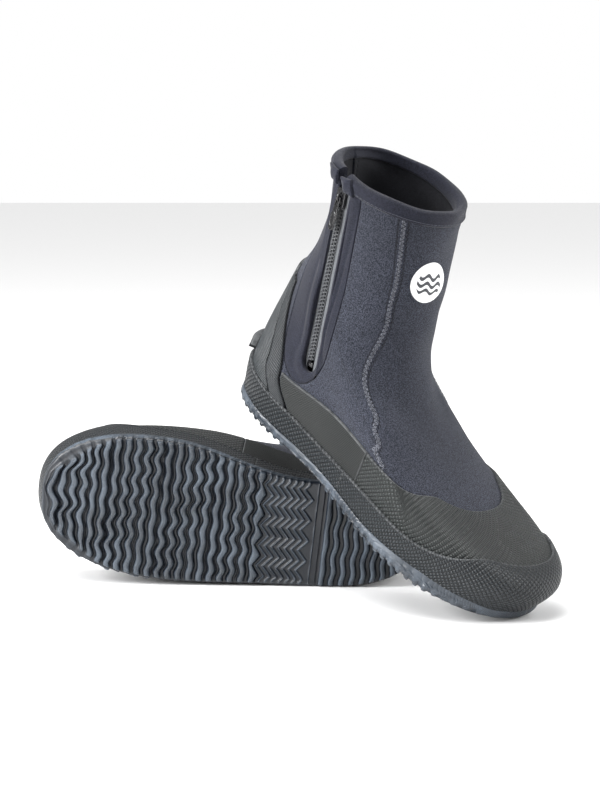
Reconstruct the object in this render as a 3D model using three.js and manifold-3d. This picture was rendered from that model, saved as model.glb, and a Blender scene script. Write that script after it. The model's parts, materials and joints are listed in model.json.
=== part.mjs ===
// A pair of neoprene water sports boots: a right boot lying on its outer side and a left boot propped on it.
// One boot is modelled as a right boot in its own axes (x heel to toe, y towards the inner side of the foot,
// z up from the sole line), and the left boot is its mirror image. Millimetres, +Z up.
import * as THREE from "three";
import { mergeVertices } from "three/addons/utils/BufferGeometryUtils.js";
import Module from "manifold-3d";

// ---- Driving dimensions -------------------------------------------------------------------------------
// Length and widths of the foot, and the height and mouth of the shaft.
const soleLength = 287; // back of the heel line to the toe of the neoprene, at the widest ring
const heelBack = 3.5; // where the neoprene's heel begins
const ballHalfInner = 52.5; // centre line to the inner side at the ball of the foot
const ballHalfOuter = 49.5; // centre line to the outer side at the ball of the foot
const instepHalf = 45; // half width over the instep
const ankleHalf = 43; // half width at the ankle
const collarHalf = 49; // half width of the mouth
const ankleLength = 103; // back to front at the ankle
const collarLength = 98; // back to front at the mouth
const shaftBackHeight = 189; // sole line to the mouth at the back
const shaftFrontHeight = 202; // sole line to the mouth at the front
const toeSpring = 12; // how far the toe lifts off the ground
const toeSpringStart = 192; // distance from the heel at which the lift begins

// Thicknesses.
const gap = 0.3; // clearance between neighbouring pieces
const neoprene = 5; // shell
const rubberSkin = 1.8; // toe cap, rands and heel counter
const foxingWall = 2; // strip round the edge of the sole
const soleBase = 6; // outsole without its tread
const treadDepth = 3;
const archDepth = 1.4; // flat waist of the tread, below the base
const boardThickness = 2;
const footbedThickness = 4;
const bindingWall = 1.2; // knitted tape round the mouth
const tabThickness = 1.6; // folded ends of that tape

// Heights on the upper, as a share of the way from the sole line (0) to the mouth (1).
const bindingFrom = 0.93;
const shellTop = 0.985;
const shellBottom = 0.012;

// Tread.
const forefootPitch = 8.4;
const heelPitch = 7.4;
const ribWidth = 4.4;
const archFrom = 76; // flat waist of the tread, from the heel
const archTo = 120;
const treadInset = 0.8; // bevel between the ribs and the side of the sole

// Zip, on the inner side of the shaft.
const zipTop = { height: 0.925, angle: 111 };
const zipBottom = { height: 0.312, angle: 124 };
const tapeHalf = 10.5; // centre line to the outer edge of a tape
const tapeThickness = 0.8;
const tapeDepth = 3.2; // skin down to the outer face of the tapes
const teethHalf = 3.5;
const teethThickness = 3;
const toothPitch = 5;
const toothLength = 1.9; // how far a tooth stands out of its row
const surroundRear = 30; // chain to the rear edge of the smooth surround
const surroundFront = 20; // chain to its front edge
const surroundBelow = 17; // how far it runs on past the end of the chain
const baffleThickness = 1.3;

const sliderLength = 14;
const sliderHalf = 5.2;
const zipSlotHalf = sliderHalf + gap; // opening in the surround that shows the chain
const sliderPlate = 1.5;
const sliderStart = 2; // top of the chain to the slider when the zip is closed
const wedgeLength = 3;
const wedgeHalf = 1.1;
const bridgeHalf = 1.1;
const bridgeHeight = 3;
const pinRadius = 0.65;
const pullLength = 24; // hinge pin to the tip
const pullHalf = 3.6;
const pullThickness = 1.3;
const pullTilt = 5; // degrees that the hanging pull stands off the chain

// Printed disc on the front of the shaft.
const markRadius = 15.5;
const markHeight = 0.755;
const markAngle = 12;
const markThickness = 0.4;

// Resting places of the two boots, in degrees and millimetres.
const leftPose = { turn: -36.2, pitch: 34.1, roll: 3.1, x: -35.8, y: -17.3 };
const rightPose = { turn: -3.3, pitch: 6.9, roll: 3.7, x: 90.7, y: -61.8 };
const settle = 0.6; // how far the rubber and the collar are pressed flat against the ground

// ---- Shape of the upper -------------------------------------------------------------------------------
// Rings from the sole line to the mouth. Each runs from a point at the back to a point at the front and has
// a half width on either side of the centre line; "wide" is where along the ring it is widest.
const rings = [
  { back: [heelBack + 6, 0], front: [soleLength - 6, 0], wide: 0.68, inner: ballHalfInner - 3,
    outer: ballHalfOuter - 3,
    squareFront: 2.35, squareBack: 2.55, waistInner: 0.28, waistOuter: 0.1 },
  { back: [heelBack, 20], front: [soleLength, 20], wide: 0.68, inner: ballHalfInner, outer: ballHalfOuter,
    squareFront: 2.35, squareBack: 2.55, waistInner: 0.26, waistOuter: 0.09 },
  { back: [heelBack - 2, 48], front: [soleLength - 18, 35], wide: 0.67, inner: ballHalfInner + 1,
    outer: ballHalfOuter + 1,
    squareFront: 2.25, squareBack: 2.5, waistInner: 0.2, waistOuter: 0.07 },
  { back: [heelBack - 3, 78], front: [198, 53], wide: 0.62, inner: instepHalf + 1, outer: instepHalf,
    squareFront: 2.1, squareBack: 2.3, waistInner: 0.06, waistOuter: 0.03 },
  { back: [2, 104], front: [134, 80], wide: 0.56, inner: ankleHalf + 1, outer: ankleHalf + 1,
    squareFront: 2, squareBack: 2.15, waistInner: 0.02, waistOuter: 0.01 },
  { back: [5, 130], front: [5 + ankleLength, 124], wide: 0.52, inner: ankleHalf, outer: ankleHalf,
    squareFront: 2, squareBack: 2.05, waistInner: 0, waistOuter: 0 },
  { back: [1, 154], front: [1 + ankleLength - 3, 153], wide: 0.5, inner: ankleHalf + 1.5, outer: ankleHalf + 1.5,
    squareFront: 2, squareBack: 2, waistInner: 0, waistOuter: 0 },
  { back: [-7, shaftBackHeight - 12], front: [collarLength - 8, shaftFrontHeight - 18], wide: 0.5,
    inner: collarHalf - 2, outer: collarHalf - 2, squareFront: 2, squareBack: 2, waistInner: 0, waistOuter: 0 },
  { back: [-14, shaftBackHeight], front: [collarLength - 14, shaftFrontHeight], wide: 0.5,
    inner: collarHalf, outer: collarHalf, squareFront: 2, squareBack: 2, waistInner: 0, waistOuter: 0 },
];
const ringRows = rings.map((r) => [
  ...r.back, ...r.front, r.wide, r.inner, r.outer, r.squareFront, r.squareBack, r.waistInner, r.waistOuter,
]);

const treadTop = -gap - soleBase; // level of the outsole's underside between the ribs
const radians = THREE.MathUtils.degToRad;
const clamp = THREE.MathUtils.clamp;

// Lift of the sole line at a distance x from the heel.
function spring(x) {
  const share = clamp((x - toeSpringStart) / (soleLength - toeSpringStart), 0, 1.1);
  return toeSpring * share * share;
}

// The ring at a height between 0 and 1, by a Catmull-Rom curve through the rings above.
function ringAt(height) {
  const last = ringRows.length - 1;
  const place = clamp(height, 0, 1) * last;
  const i = Math.min(Math.floor(place), last - 1);
  const t = place - i;
  const row = (k) => ringRows[clamp(k, 0, last)];
  const [a, b, c, d] = [row(i - 1), row(i), row(i + 1), row(i + 2)];
  return b.map((_, k) => 0.5 * (2 * b[k] + (c[k] - a[k]) * t
    + (2 * a[k] - 5 * b[k] + 4 * c[k] - d[k]) * t * t
    + (3 * b[k] - a[k] - 3 * c[k] + d[k]) * t * t * t));
}

// A point of the neoprene's outer face. Angle 0 is the front, 90 the inner side and 180 the back.
function skin(height, angle) {
  const [xb, zb, xf, zf, wide, inner, outer, nFront, nBack, waistInner, waistOuter] = ringAt(height);
  const c = Math.cos(radians(angle));
  const s = Math.sin(radians(angle));
  const n = c > 0 ? nFront : nBack;
  const along = Math.abs(c) ** (2 / n);
  const across = Math.sign(s) * Math.abs(s) ** (2 / n);
  const share = wide + Math.sign(c) * along * (c > 0 ? 1 - wide : wide);
  const waist = c > 0 ? 0 : (s > 0 ? waistInner : waistOuter) * Math.sin(Math.PI * along) ** 2;
  const x = xb + (xf - xb) * share;
  const z = zb + (zf - zb) * share + spring(x);
  return new THREE.Vector3(x, (s > 0 ? inner : outer) * across * (1 - waist), z);
}

// Outward direction of the skin, and the skin moved out by a distance.
function outward(height, angle) {
  const h = clamp(height, 0.01, 0.99);
  const up = skin(h + 0.01, angle).sub(skin(h - 0.01, angle));
  const round = skin(h, angle + 1.5).sub(skin(h, angle - 1.5));
  return round.cross(up).normalize();
}
function layer(height, angle, offset) {
  return skin(height, angle).addScaledVector(outward(height, angle), offset);
}

// ---- Solids -------------------------------------------------------------------------------------------
const wasm = await Module();
wasm.setup();

function solidOf(geometry) {
  const bare = geometry.clone();
  bare.deleteAttribute("normal");
  bare.deleteAttribute("uv");
  const merged = mergeVertices(bare, 1e-4);
  return new wasm.Manifold(new wasm.Mesh({
    numProp: 3,
    vertProperties: merged.attributes.position.array,
    triVerts: new Uint32Array(merged.index.array),
  }));
}
function geometryOf(solid) {
  const mesh = solid.getMesh();
  return new THREE.BufferGeometry()
    .setAttribute("position", new THREE.BufferAttribute(new Float32Array(mesh.vertProperties), 3))
    .setIndex(new THREE.BufferAttribute(new Uint32Array(mesh.triVerts), 1));
}
const cut = (body, ...tools) => geometryOf(tools.reduce((a, tool) => a.subtract(solidOf(tool)), solidOf(body)));
const join = (...bodies) => geometryOf(bodies.map(solidOf).reduce((a, b) => a.add(b)));
const common = (a, b) => geometryOf(solidOf(a).intersect(solidOf(b)));

function fromTriangles(points, triangles) {
  let volume = 0;
  for (const [a, b, c] of triangles) {
    volume += points[a].dot(points[b].clone().cross(points[c]));
  }
  const index = volume < 0 ? triangles.map(([a, b, c]) => [a, c, b]) : triangles;
  return new THREE.BufferGeometry().setFromPoints(points).setIndex(index.flat());
}

// A closed loop of points, given for each step, carried along the steps. It either comes round to its
// start, or its two ends are closed flat.
function carried(loops, comesRound = false) {
  const size = loops[0].length;
  const points = loops.flat();
  const triangles = [];
  for (let i = 0; i < loops.length - (comesRound ? 0 : 1); i++) {
    const [here, next] = [i * size, (i + 1) % loops.length * size];
    for (let j = 0; j < size; j++) {
      const k = (j + 1) % size;
      triangles.push([here + j, here + k, next + k], [here + j, next + k, next + j]);
    }
  }
  if (!comesRound) {
    const end = points.length - size;
    earClip(loops[0]).forEach(([a, b, c]) => triangles.push([a, b, c], [end + a, end + c, end + b]));
  }
  return fromTriangles(points, triangles);
}

// Triangles that close a flat loop, wound against it.
function earClip(loop) {
  const normal = new THREE.Vector3();
  loop.forEach((p, i) => normal.add(p.clone().cross(loop[(i + 1) % loop.length])));
  normal.normalize();
  const across = loop[1].clone().sub(loop[0]).normalize();
  const up = normal.clone().cross(across);
  const flat = loop.map((p) => new THREE.Vector2(p.dot(across), p.dot(up)));
  return THREE.ShapeUtils.triangulateShape(flat, []).map(([a, b, c]) => [a, c, b]);
}

const steps = (from, to, count) => Array.from({ length: count + 1 }, (_, i) => from + (to - from) * i / count);

// A sheet of the upper between two heights and two angles, from the offset "inside" to the offset "outside".
// The heights may depend on the angle's share, and the angles on the height.
function sheet({ heights, angles, rows, columns, inside, outside }) {
  const grid = (offset) => steps(0, 1, rows).map((v) => steps(0, 1, columns).map((u) => {
    const [low, high] = heights(u);
    const height = low + (high - low) * v;
    const [first, last] = angles(height);
    return layer(height, first + (last - first) * u, offset);
  }));
  return thick(grid(outside), grid(inside));
}

// A closed body between two grids of points of the same size, whose columns may come round to the first.
function thick(outer, inner, comesRound = false) {
  const rows = outer.length;
  const columns = outer[0].length;
  const points = [...outer.flat(), ...inner.flat()];
  const at = (i, j, side) => side * rows * columns + i * columns + j % columns;
  const triangles = [];
  const quad = (a, b, c, d) => triangles.push([a, b, c], [a, c, d]);
  for (let j = 0; j < columns - (comesRound ? 0 : 1); j++) {
    for (let i = 0; i + 1 < rows; i++) {
      quad(at(i, j, 0), at(i, j + 1, 0), at(i + 1, j + 1, 0), at(i + 1, j, 0));
      triangles.push([at(i, j, 1), at(i + 1, j + 1, 1), at(i, j + 1, 1)]);
      triangles.push([at(i, j, 1), at(i + 1, j, 1), at(i + 1, j + 1, 1)]);
    }
    const i = rows - 1;
    quad(at(0, j, 0), at(0, j, 1), at(0, j + 1, 1), at(0, j + 1, 0));
    quad(at(i, j, 0), at(i, j + 1, 0), at(i, j + 1, 1), at(i, j, 1));
  }
  for (let i = 0; i + 1 < rows && !comesRound; i++) {
    const j = columns - 1;
    quad(at(i, 0, 0), at(i + 1, 0, 0), at(i + 1, 0, 1), at(i, 0, 1));
    quad(at(i, j, 0), at(i, j, 1), at(i + 1, j, 1), at(i + 1, j, 0));
  }
  return fromTriangles(points, triangles);
}

// ---- Seams and edges on the upper ---------------------------------------------------------------------
// A value that eases between listed [place, value] knots.
function along(knots, place) {
  if (place <= knots[0][0]) return knots[0][1];
  const i = knots.findIndex(([p]) => p >= place);
  if (i < 0) return knots.at(-1)[1];
  const [[p0, v0], [p1, v1]] = [knots[i - 1], knots[i]];
  return v0 + (v1 - v0) * THREE.MathUtils.smoothstep(place, p0, p1);
}
const frontSeam = (height) => along([[0.27, 97], [0.42, 66], [0.62, 44], [0.95, 47]], height);
const rubberTop = (angle) => along([[0, 0.335], [50, 0.33], [97, 0.275], [137, 0.215]], Math.abs(angle));
const foxingTop = (angle) => along([[0, 0.232], [40, 0.232], [92, 0.125], [112, 0.1], [130, 0.113], [180, 0.14]],
  Math.abs(angle));
const counterEdge = (height) => along([[0.1, 130], [0.2, 137], [0.47, 147]], height);
const seamAngle = (height) => 0.5 * gap / skin(height, 90).distanceTo(skin(height, 91));
const rubberSplit = 142; // toe cap to side rands, from the heel
const foxingSplit = 131; // front strip to heel strip, from the heel
const counterTop = 0.47;
const stayWidth = 9; // degrees round the heel taken by each stay strip

// Every layer of the upper has its corners at these heights and angles, so the layers lie parallel.
const gridHeights = [shellBottom, 0.07, 0.14, 0.25, 0.35, 0.45, 0.55, 0.66, 0.78, 0.87, bindingFrom, shellTop];
const gridAngles = steps(0, 360, 24).slice(0, -1);
const rubberHeights = gridHeights.filter((h) => h < 0.6);
const foxingHeights = gridHeights.filter((h) => h < 0.3);
const reach = 9; // how far a cutting body stands past the layer it cuts

function wholeLayer(inside, outside, levels) {
  const face = (offset) => levels.map((h) => gridAngles.map((angle) => layer(h, angle, offset)));
  return thick(face(outside), face(inside), true);
}
const shell = wholeLayer(-neoprene, 0, gridHeights);
const acrossShell = (angles, columns) => sheet({ heights: () => [0, 1], rows: 10, columns,
  inside: -neoprene - reach, outside: reach, angles });
const frontShare = acrossShell((h) => [-frontSeam(h), frontSeam(h)], 12);
const seams = [1, -1].map((side) => acrossShell((h) => [
  side * frontSeam(h) - seamAngle(h), side * frontSeam(h) + seamAngle(h)], 1));
const oneSide = (side) => new THREE.BoxGeometry(800, 400, 800).translate(0, side * (200 + gap / 2), 0);

const frontPanel = () => cut(common(shell, frontShare), ...seams);
const quarter = (side) => common(cut(shell, frontShare, ...seams), oneSide(side));
const outerQuarter = () => quarter(-1);
const innerQuarter = () => cut(quarter(1), surroundPrism(gap));

// ---- Zip ----------------------------------------------------------------------------------------------
// Angle of the chain at a height.
function zipAngle(height) {
  return zipBottom.angle + (zipTop.angle - zipBottom.angle)
    * THREE.MathUtils.smoothstep(height, zipBottom.height, 0.62);
}
const chainTop = skin(zipTop.height, zipTop.angle);
const chainEnd = skin(zipBottom.height, zipBottom.angle);
const chainLength = chainTop.distanceTo(chainEnd);
const down = chainEnd.clone().sub(chainTop).normalize();
const proud = outward(0.6, 115).projectOnPlane(down).normalize();
const rearward = proud.clone().cross(down).normalize(); // towards the heel
const zipFrame = new THREE.Matrix4().makeBasis(rearward, down.clone().negate(), proud).setPosition(chainTop);

// A flat outline in the zip's own plane (rearward, down), from one height above the skin to another.
function zipBlock(outline, low, high) {
  const shape = new THREE.Shape(outline.map(([f, d]) => new THREE.Vector2(f, -d)));
  const body = new THREE.ExtrudeGeometry(shape, { depth: high - low, bevelEnabled: false, steps: 1 });
  return body.translate(0, 0, low).applyMatrix4(zipFrame);
}
const rectangle = (f0, f1, d0, d1) => [[f0, d0], [f1, d0], [f1, d1], [f0, d1]];
const zipBox = (f0, f1, d0, d1, low, high) => zipBlock(rectangle(f0, f1, d0, d1), low, high);

const above = 40; // reach of cutting bodies past what they cut
function surroundOutline(grow) {
  const bottom = chainLength + surroundBelow + grow;
  const rear = surroundRear + grow;
  const front = -surroundFront - grow;
  const round = steps(0, Math.PI, 10).map((a) => [
    (rear + front) / 2 + (rear - front) / 2 * Math.cos(a), bottom - 52 + 52 * Math.sin(a)]);
  return [[rear, -above], ...round, [front, -above]].reverse();
}
const surroundPrism = (grow) => zipBlock(surroundOutline(grow), -30, 30);

function zipSurround() {
  const patch = quarter(1);
  const slotEnd = chainLength + zipSlotHalf;
  const slot = zipBox(-zipSlotHalf, zipSlotHalf, -above, slotEnd, -30, 30);
  const rebate = zipBox(-tapeHalf - gap, tapeHalf + gap, -above, chainLength + 8, -30, -tapeDepth + gap);
  return cut(common(patch, surroundPrism(0)), slot, rebate);
}

const tapeTop = -tapeDepth;
const tapeBottom = -tapeDepth - tapeThickness;
const teethTop = (tapeTop + tapeBottom) / 2 + teethThickness / 2;
const teethBottom = teethTop - teethThickness;
const teethFrom = sliderStart + wedgeLength + 1.5;

function zipTape(side) {
  const near = side * (teethHalf + gap);
  const far = side * tapeHalf;
  return zipBox(Math.min(near, far), Math.max(near, far), 0, chainLength + 6, tapeBottom, tapeTop);
}

// One row of teeth: a spine with teeth on its inner side, set half a pitch on from the other row.
function zipTeeth(side) {
  const count = Math.floor((chainLength - teethFrom - toothPitch) / toothPitch);
  const start = teethFrom + (side > 0 ? 0 : toothPitch / 2);
  const spine = teethHalf - 1.4;
  const tip = spine - toothLength;
  const outline = [[teethHalf, start]];
  for (let i = 0; i < count; i++) {
    const from = start + i * toothPitch;
    const until = from + toothPitch * 0.55;
    outline.push([spine, from], [tip, from + 0.2], [tip, until - 0.2], [spine, until]);
  }
  const end = start + count * toothPitch;
  outline.splice(1, 1);
  outline.push([teethHalf, end]);
  const turned = side > 0 ? outline : outline.map(([f, d]) => [-f, d]).reverse();
  return zipBlock(turned.reverse(), teethBottom, teethTop);
}
function topStop(side) {
  const from = 0.4;
  return zipBox(side > 0 ? 1.5 : -teethHalf, side > 0 ? teethHalf : -1.5, from, from + 1.2,
    teethBottom, teethTop);
}
function bottomStop() {
  return zipBox(-teethHalf, teethHalf, chainLength - 1.2, chainLength + 2.5, teethBottom, teethTop);
}
function zipBaffle() {
  const angleHalf = 27;
  const outside = Math.min(backLow, -neoprene - gap - bindingWall) - 1.1;
  return sheet({ heights: () => [zipBottom.height, bindingFrom], rows: 6, columns: 4, outside,
    inside: outside - baffleThickness, angles: (h) => [zipAngle(h) - angleHalf, zipAngle(h) + angleHalf] });
}

// The slider: two flanged plates joined by the wedge, and a bridge for the pull.
const plateLow = teethTop + gap;
const plateHigh = plateLow + sliderPlate;
const backHigh = teethBottom - gap;
const backLow = backHigh - 1;
const sliderEnd = sliderStart + sliderLength;
const hingeDown = sliderStart + 6.5;
const hingeHigh = plateHigh + pinRadius + 0.35;
function zipSlider() {
  const flangeIn = teethHalf + gap;
  const body = (low, high) => zipBox(-sliderHalf, sliderHalf, sliderStart, sliderEnd, low, high);
  const flange = (side, low, high) => zipBox(side > 0 ? flangeIn : -sliderHalf, side > 0 ? sliderHalf : -flangeIn,
    sliderStart, sliderEnd, low, high);
  const wedge = zipBox(-wedgeHalf, wedgeHalf, sliderStart, sliderStart + wedgeLength, backLow, plateHigh);
  const post = (d) => zipBox(-bridgeHalf, bridgeHalf, d - 0.6, d + 0.6, plateLow, plateHigh + bridgeHeight);
  const arm = 2.2;
  const bar = zipBox(-bridgeHalf, bridgeHalf, hingeDown - arm, hingeDown + arm,
    plateHigh + bridgeHeight - 1, plateHigh + bridgeHeight);
  return join(body(plateLow, plateHigh), body(backLow, backHigh), flange(1, tapeTop + gap, plateHigh),
    flange(-1, tapeTop + gap, plateHigh), flange(1, backLow, tapeBottom - gap),
    flange(-1, backLow, tapeBottom - gap), wedge, post(hingeDown - arm), post(hingeDown + arm), bar);
}
const hingePoint = new THREE.Vector3(0, -hingeDown, hingeHigh).applyMatrix4(zipFrame);

function zipPull() {
  const low = hingeHigh - pullThickness / 2;
  const high = hingeHigh + pullThickness / 2;
  const armIn = bridgeHalf + 0.4;
  const armOut = armIn + 1.1;
  const pin = new THREE.CylinderGeometry(pinRadius, pinRadius, 2 * armOut - 0.2, 8).rotateZ(Math.PI / 2)
    .translate(0, -hingeDown, hingeHigh).applyMatrix4(zipFrame);
  const arm = (side) => zipBox(side > 0 ? armIn : -armOut, side > 0 ? armOut : -armIn,
    hingeDown - 0.4, hingeDown + 7, low, high);
  const tab = zipBlock([[-armOut, hingeDown + 6], [armOut, hingeDown + 6], [pullHalf, hingeDown + 10],
    [pullHalf, hingeDown + pullLength - 2], [pullHalf - 1.5, hingeDown + pullLength],
    [1.5 - pullHalf, hingeDown + pullLength], [-pullHalf, hingeDown + pullLength - 2],
    [-pullHalf, hingeDown + 10]], low, high);
  const tilt = new THREE.Matrix4().makeTranslation(hingePoint)
    .multiply(new THREE.Matrix4().makeRotationAxis(rearward, -radians(pullTilt)))
    .multiply(new THREE.Matrix4().makeTranslation(hingePoint.clone().negate()));
  return join(pin, arm(1), arm(-1), tab).applyMatrix4(tilt);
}

// ---- Collar -------------------------------------------------------------------------------------------
const mouthGap = 6.5; // degrees left open in the binding on either side of the chain
const mouthFrom = zipTop.angle + mouthGap;
const mouthTo = 360 + zipTop.angle - mouthGap;

function collarBinding() {
  const far = gap + bindingWall;
  const near = -neoprene - gap - bindingWall;
  const section = [[far, bindingFrom], [far, 0.995], [far - 2, 1.012], [near + 2, 1.012], [near, 0.995],
    [near, bindingFrom], [-neoprene - gap, bindingFrom], [-neoprene - gap, 0.99], [gap, 0.99],
    [gap, bindingFrom]];
  const inBetween = gridAngles.concat(gridAngles.map((angle) => angle + 360))
    .filter((angle) => angle > mouthFrom + 2 && angle < mouthTo - 2);
  return carried([mouthFrom, ...inBetween, mouthTo].map((angle) => section.map(([offset, height]) => {
    const point = layer(Math.min(height, 1), angle, offset);
    return point.setZ(point.z + Math.max(height - 1, 0) * 170);
  })));
}
function bindingTab(side) {
  const low = 2 * gap + bindingWall;
  const from = side > 0 ? mouthTo - 11 : mouthFrom + 0.5;
  return sheet({ heights: () => [bindingFrom - 0.01, 0.995], angles: () => [from, from + 10.5],
    rows: 2, columns: 3, inside: low, outside: low + tabThickness });
}

// ---- Rubber -------------------------------------------------------------------------------------------
const rubberIn = gap;
const rubberOut = gap + rubberSkin;
const foxingIn = rubberOut + gap;
const foxingOut = foxingIn + foxingWall;

const belowUpper = springPlate(-30, 0);
const rubberLayer = cut(wholeLayer(rubberIn, rubberOut, rubberHeights), belowUpper);
const rubberPiece = (heights, angles, rows, columns) => common(rubberLayer, sheet({ heights, angles, rows, columns,
  inside: rubberIn - reach, outside: rubberOut + reach }));
const beyond = (x) => new THREE.BoxGeometry(600, 400, 400).translate(x + 300, 0, 0); // everything ahead of x
const behind = (x) => new THREE.BoxGeometry(600, 400, 400).translate(x - 300, 0, 0);

function toeCap() {
  const whole = rubberPiece((u) => [0, rubberTop((2 * u - 1) * 130)], () => [-130, 130], 3, 20);
  return cut(whole, behind(rubberSplit + gap / 2));
}
function sideRand(side) {
  const start = 60;
  const strip = rubberPiece((u) => [0, rubberTop(start + (137 - start) * u)],
    (h) => [side * start, side * (counterEdge(h) - 1.2)], 3, 6);
  return cut(strip, beyond(rubberSplit - gap / 2));
}
function heelStay(side) {
  return rubberPiece(() => [0, counterTop], (h) => [side * counterEdge(h), side * (counterEdge(h) + stayWidth)],
    5, 1);
}
function heelCounter() {
  const edge = (h) => counterEdge(h) + stayWidth + 0.8;
  return rubberPiece((u) => [0, counterTop + 0.03 * Math.sin(Math.PI * u)], (h) => [edge(h), 360 - edge(h)], 5, 8);
}

// The strip round the upper, standing on the rim of the outsole.
function wholeFoxing() {
  const ring = wholeLayer(foxingIn, foxingOut, foxingHeights);
  const over = carried(gridAngles.map((angle) => {
    const top = foxingTop(angle > 180 ? 360 - angle : angle);
    return [[top, foxingIn - reach], [top, foxingOut + reach], [0.4, foxingOut + reach], [0.4, foxingIn - reach]]
      .map(([height, offset]) => layer(height, angle, offset));
  }), true);
  return cut(ring, over, belowUpper);
}
const foxingWhole = wholeFoxing();
const foxingFront = () => cut(foxingWhole, behind(foxingSplit + gap / 2));
const foxingHeel = () => cut(foxingWhole, beyond(foxingSplit - gap / 2));
function strapStop() {
  const low = foxingTop(180) + 0.012;
  return sheet({ heights: () => [low, low + 0.045], angles: () => [166, 194], rows: 1, columns: 4,
    inside: rubberOut + gap, outside: rubberOut + 5.5 });
}

// ---- Sole ---------------------------------------------------------------------------------------------
// The outline of the sole line moved out by a distance, as an upright block.
function soleBlock(offset) {
  const outline = gridAngles.map((angle) => {
    const p = layer(shellBottom, angle, offset);
    return new THREE.Vector2(p.x, p.y);
  });
  return new THREE.ExtrudeGeometry(new THREE.Shape(outline), { depth: 80, bevelEnabled: false, steps: 1 })
    .translate(0, 0, -40);
}

// A side view [x, z] carried straight across the foot.
function acrossFoot(profile) {
  const shape = new THREE.Shape(profile.map(([x, z]) => new THREE.Vector2(x, z)));
  return new THREE.ExtrudeGeometry(shape, { depth: 160, bevelEnabled: false, steps: 1 })
    .rotateX(Math.PI / 2).translate(0, 80, 0);
}

// A plate between two levels that follows the toe spring.
function springPlate(low, high) {
  const stops = [-20, ...steps(toeSpringStart, soleLength + 20, 7)];
  return acrossFoot([...stops.map((x) => [x, spring(x) + low]),
    ...stops.toReversed().map((x) => [x, spring(x) + high])]);
}
function soleLayer(low, thickness, inset) {
  return common(springPlate(low, low + thickness), soleBlock(-inset));
}

function ribs() {
  const ground = treadTop - treadDepth;
  const bar = (from, to, low) => acrossFoot([[from, spring(from) + low], [to, spring(to) + low],
    [to, spring(to) + treadTop + 1], [from, spring(from) + treadTop + 1]]);
  const bars = [bar(archFrom, archTo, treadTop - archDepth)];
  for (let x = heelBack + 6; x + ribWidth < archFrom; x += heelPitch) bars.push(bar(x, x + ribWidth, ground));
  for (let x = archTo; x + ribWidth < soleLength; x += forefootPitch) bars.push(bar(x, x + ribWidth, ground));
  return join(...bars);
}
function outsole() {
  const base = soleLayer(treadTop, soleBase, -foxingOut);
  return join(base, common(ribs(), soleBlock(foxingOut - treadInset)));
}

// ---- Printed disc -------------------------------------------------------------------------------------
function printedMark() {
  const facing = new THREE.Quaternion().setFromUnitVectors(new THREE.Vector3(0, 1, 0), outward(markHeight, markAngle));
  const round = new THREE.CylinderGeometry(markRadius, markRadius, 30, 32).applyQuaternion(facing)
    .translate(...skin(markHeight, markAngle));
  return common(wholeLayer(gap, gap + markThickness, gridHeights), round);
}

// ---- Finishes -----------------------------------------------------------------------------------------
const finish = (color, roughness, metalness = 0) => new THREE.MeshStandardMaterial({ color, roughness, metalness });
const knit = finish(0x30343f, 0.85);
const smoothKnit = finish(0x1d2130, 0.7);
const rubber = finish(0x34373a, 0.45);
const darkRubber = finish(0x202326, 0.55);
const board = finish(0x8c8478, 0.8);
const foam = finish(0x26282c, 0.9);
const tape = finish(0x3a3c40, 0.9);
const plastic = finish(0x0c0c0e, 0.3);
const ink = finish(0xf2f2f0, 0.5);

// ---- One boot -----------------------------------------------------------------------------------------
const pieces = [
  ["outsole", outsole, darkRubber],
  ["insole_board", () => soleLayer(gap, boardThickness, neoprene + 0.6), board],
  ["footbed", () => soleLayer(2 * gap + boardThickness, footbedThickness, neoprene + 0.9), foam],
  ["front_panel", frontPanel, knit],
  ["inner_quarter", innerQuarter, knit],
  ["outer_quarter", outerQuarter, knit],
  ["zip_surround", zipSurround, smoothKnit],
  ["zip_baffle", zipBaffle, smoothKnit],
  ["zip_tape_front", () => zipTape(-1), tape],
  ["zip_tape_rear", () => zipTape(1), tape],
  ["zip_teeth_front", () => zipTeeth(-1), plastic],
  ["zip_teeth_rear", () => zipTeeth(1), plastic],
  ["zip_top_stop_front", () => topStop(-1), plastic],
  ["zip_top_stop_rear", () => topStop(1), plastic],
  ["zip_bottom_stop", bottomStop, plastic],
  ["zip_slider", zipSlider, plastic],
  ["zip_pull", zipPull, plastic],
  ["collar_binding", collarBinding, smoothKnit],
  ["binding_tab_front", () => bindingTab(1), smoothKnit],
  ["binding_tab_rear", () => bindingTab(-1), smoothKnit],
  ["toe_cap", toeCap, rubber],
  ["inner_rand", () => sideRand(1), rubber],
  ["outer_rand", () => sideRand(-1), rubber],
  ["heel_counter", heelCounter, rubber],
  ["inner_heel_stay", () => heelStay(1), rubber],
  ["outer_heel_stay", () => heelStay(-1), rubber],
  ["foxing_front", foxingFront, rubber],
  ["foxing_heel", foxingHeel, rubber],
  ["fin_strap_stop", strapStop, darkRubber],
  ["printed_mark", printedMark, ink],
].map(([name, make, material]) => ({ name, material, geometry: make() }));

// ---- The pair -----------------------------------------------------------------------------------------
function turned({ turn, pitch, roll }, lay) {
  return new THREE.Matrix4().makeRotationZ(radians(turn))
    .multiply(new THREE.Matrix4().makeRotationX(radians(lay ? roll : 0)))
    .multiply(new THREE.Matrix4().makeRotationY(radians(pitch)))
    .multiply(new THREE.Matrix4().makeRotationX(radians(lay ? 0 : roll)));
}
// Lying on the outer side: the sole faces -Y and the toe points to -X.
const layDown = new THREE.Matrix4().makeBasis(
  new THREE.Vector3(-1, 0, 0), new THREE.Vector3(0, 0, 1), new THREE.Vector3(0, 1, 0));
const mirror = new THREE.Matrix4().makeScale(1, -1, 1);

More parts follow.
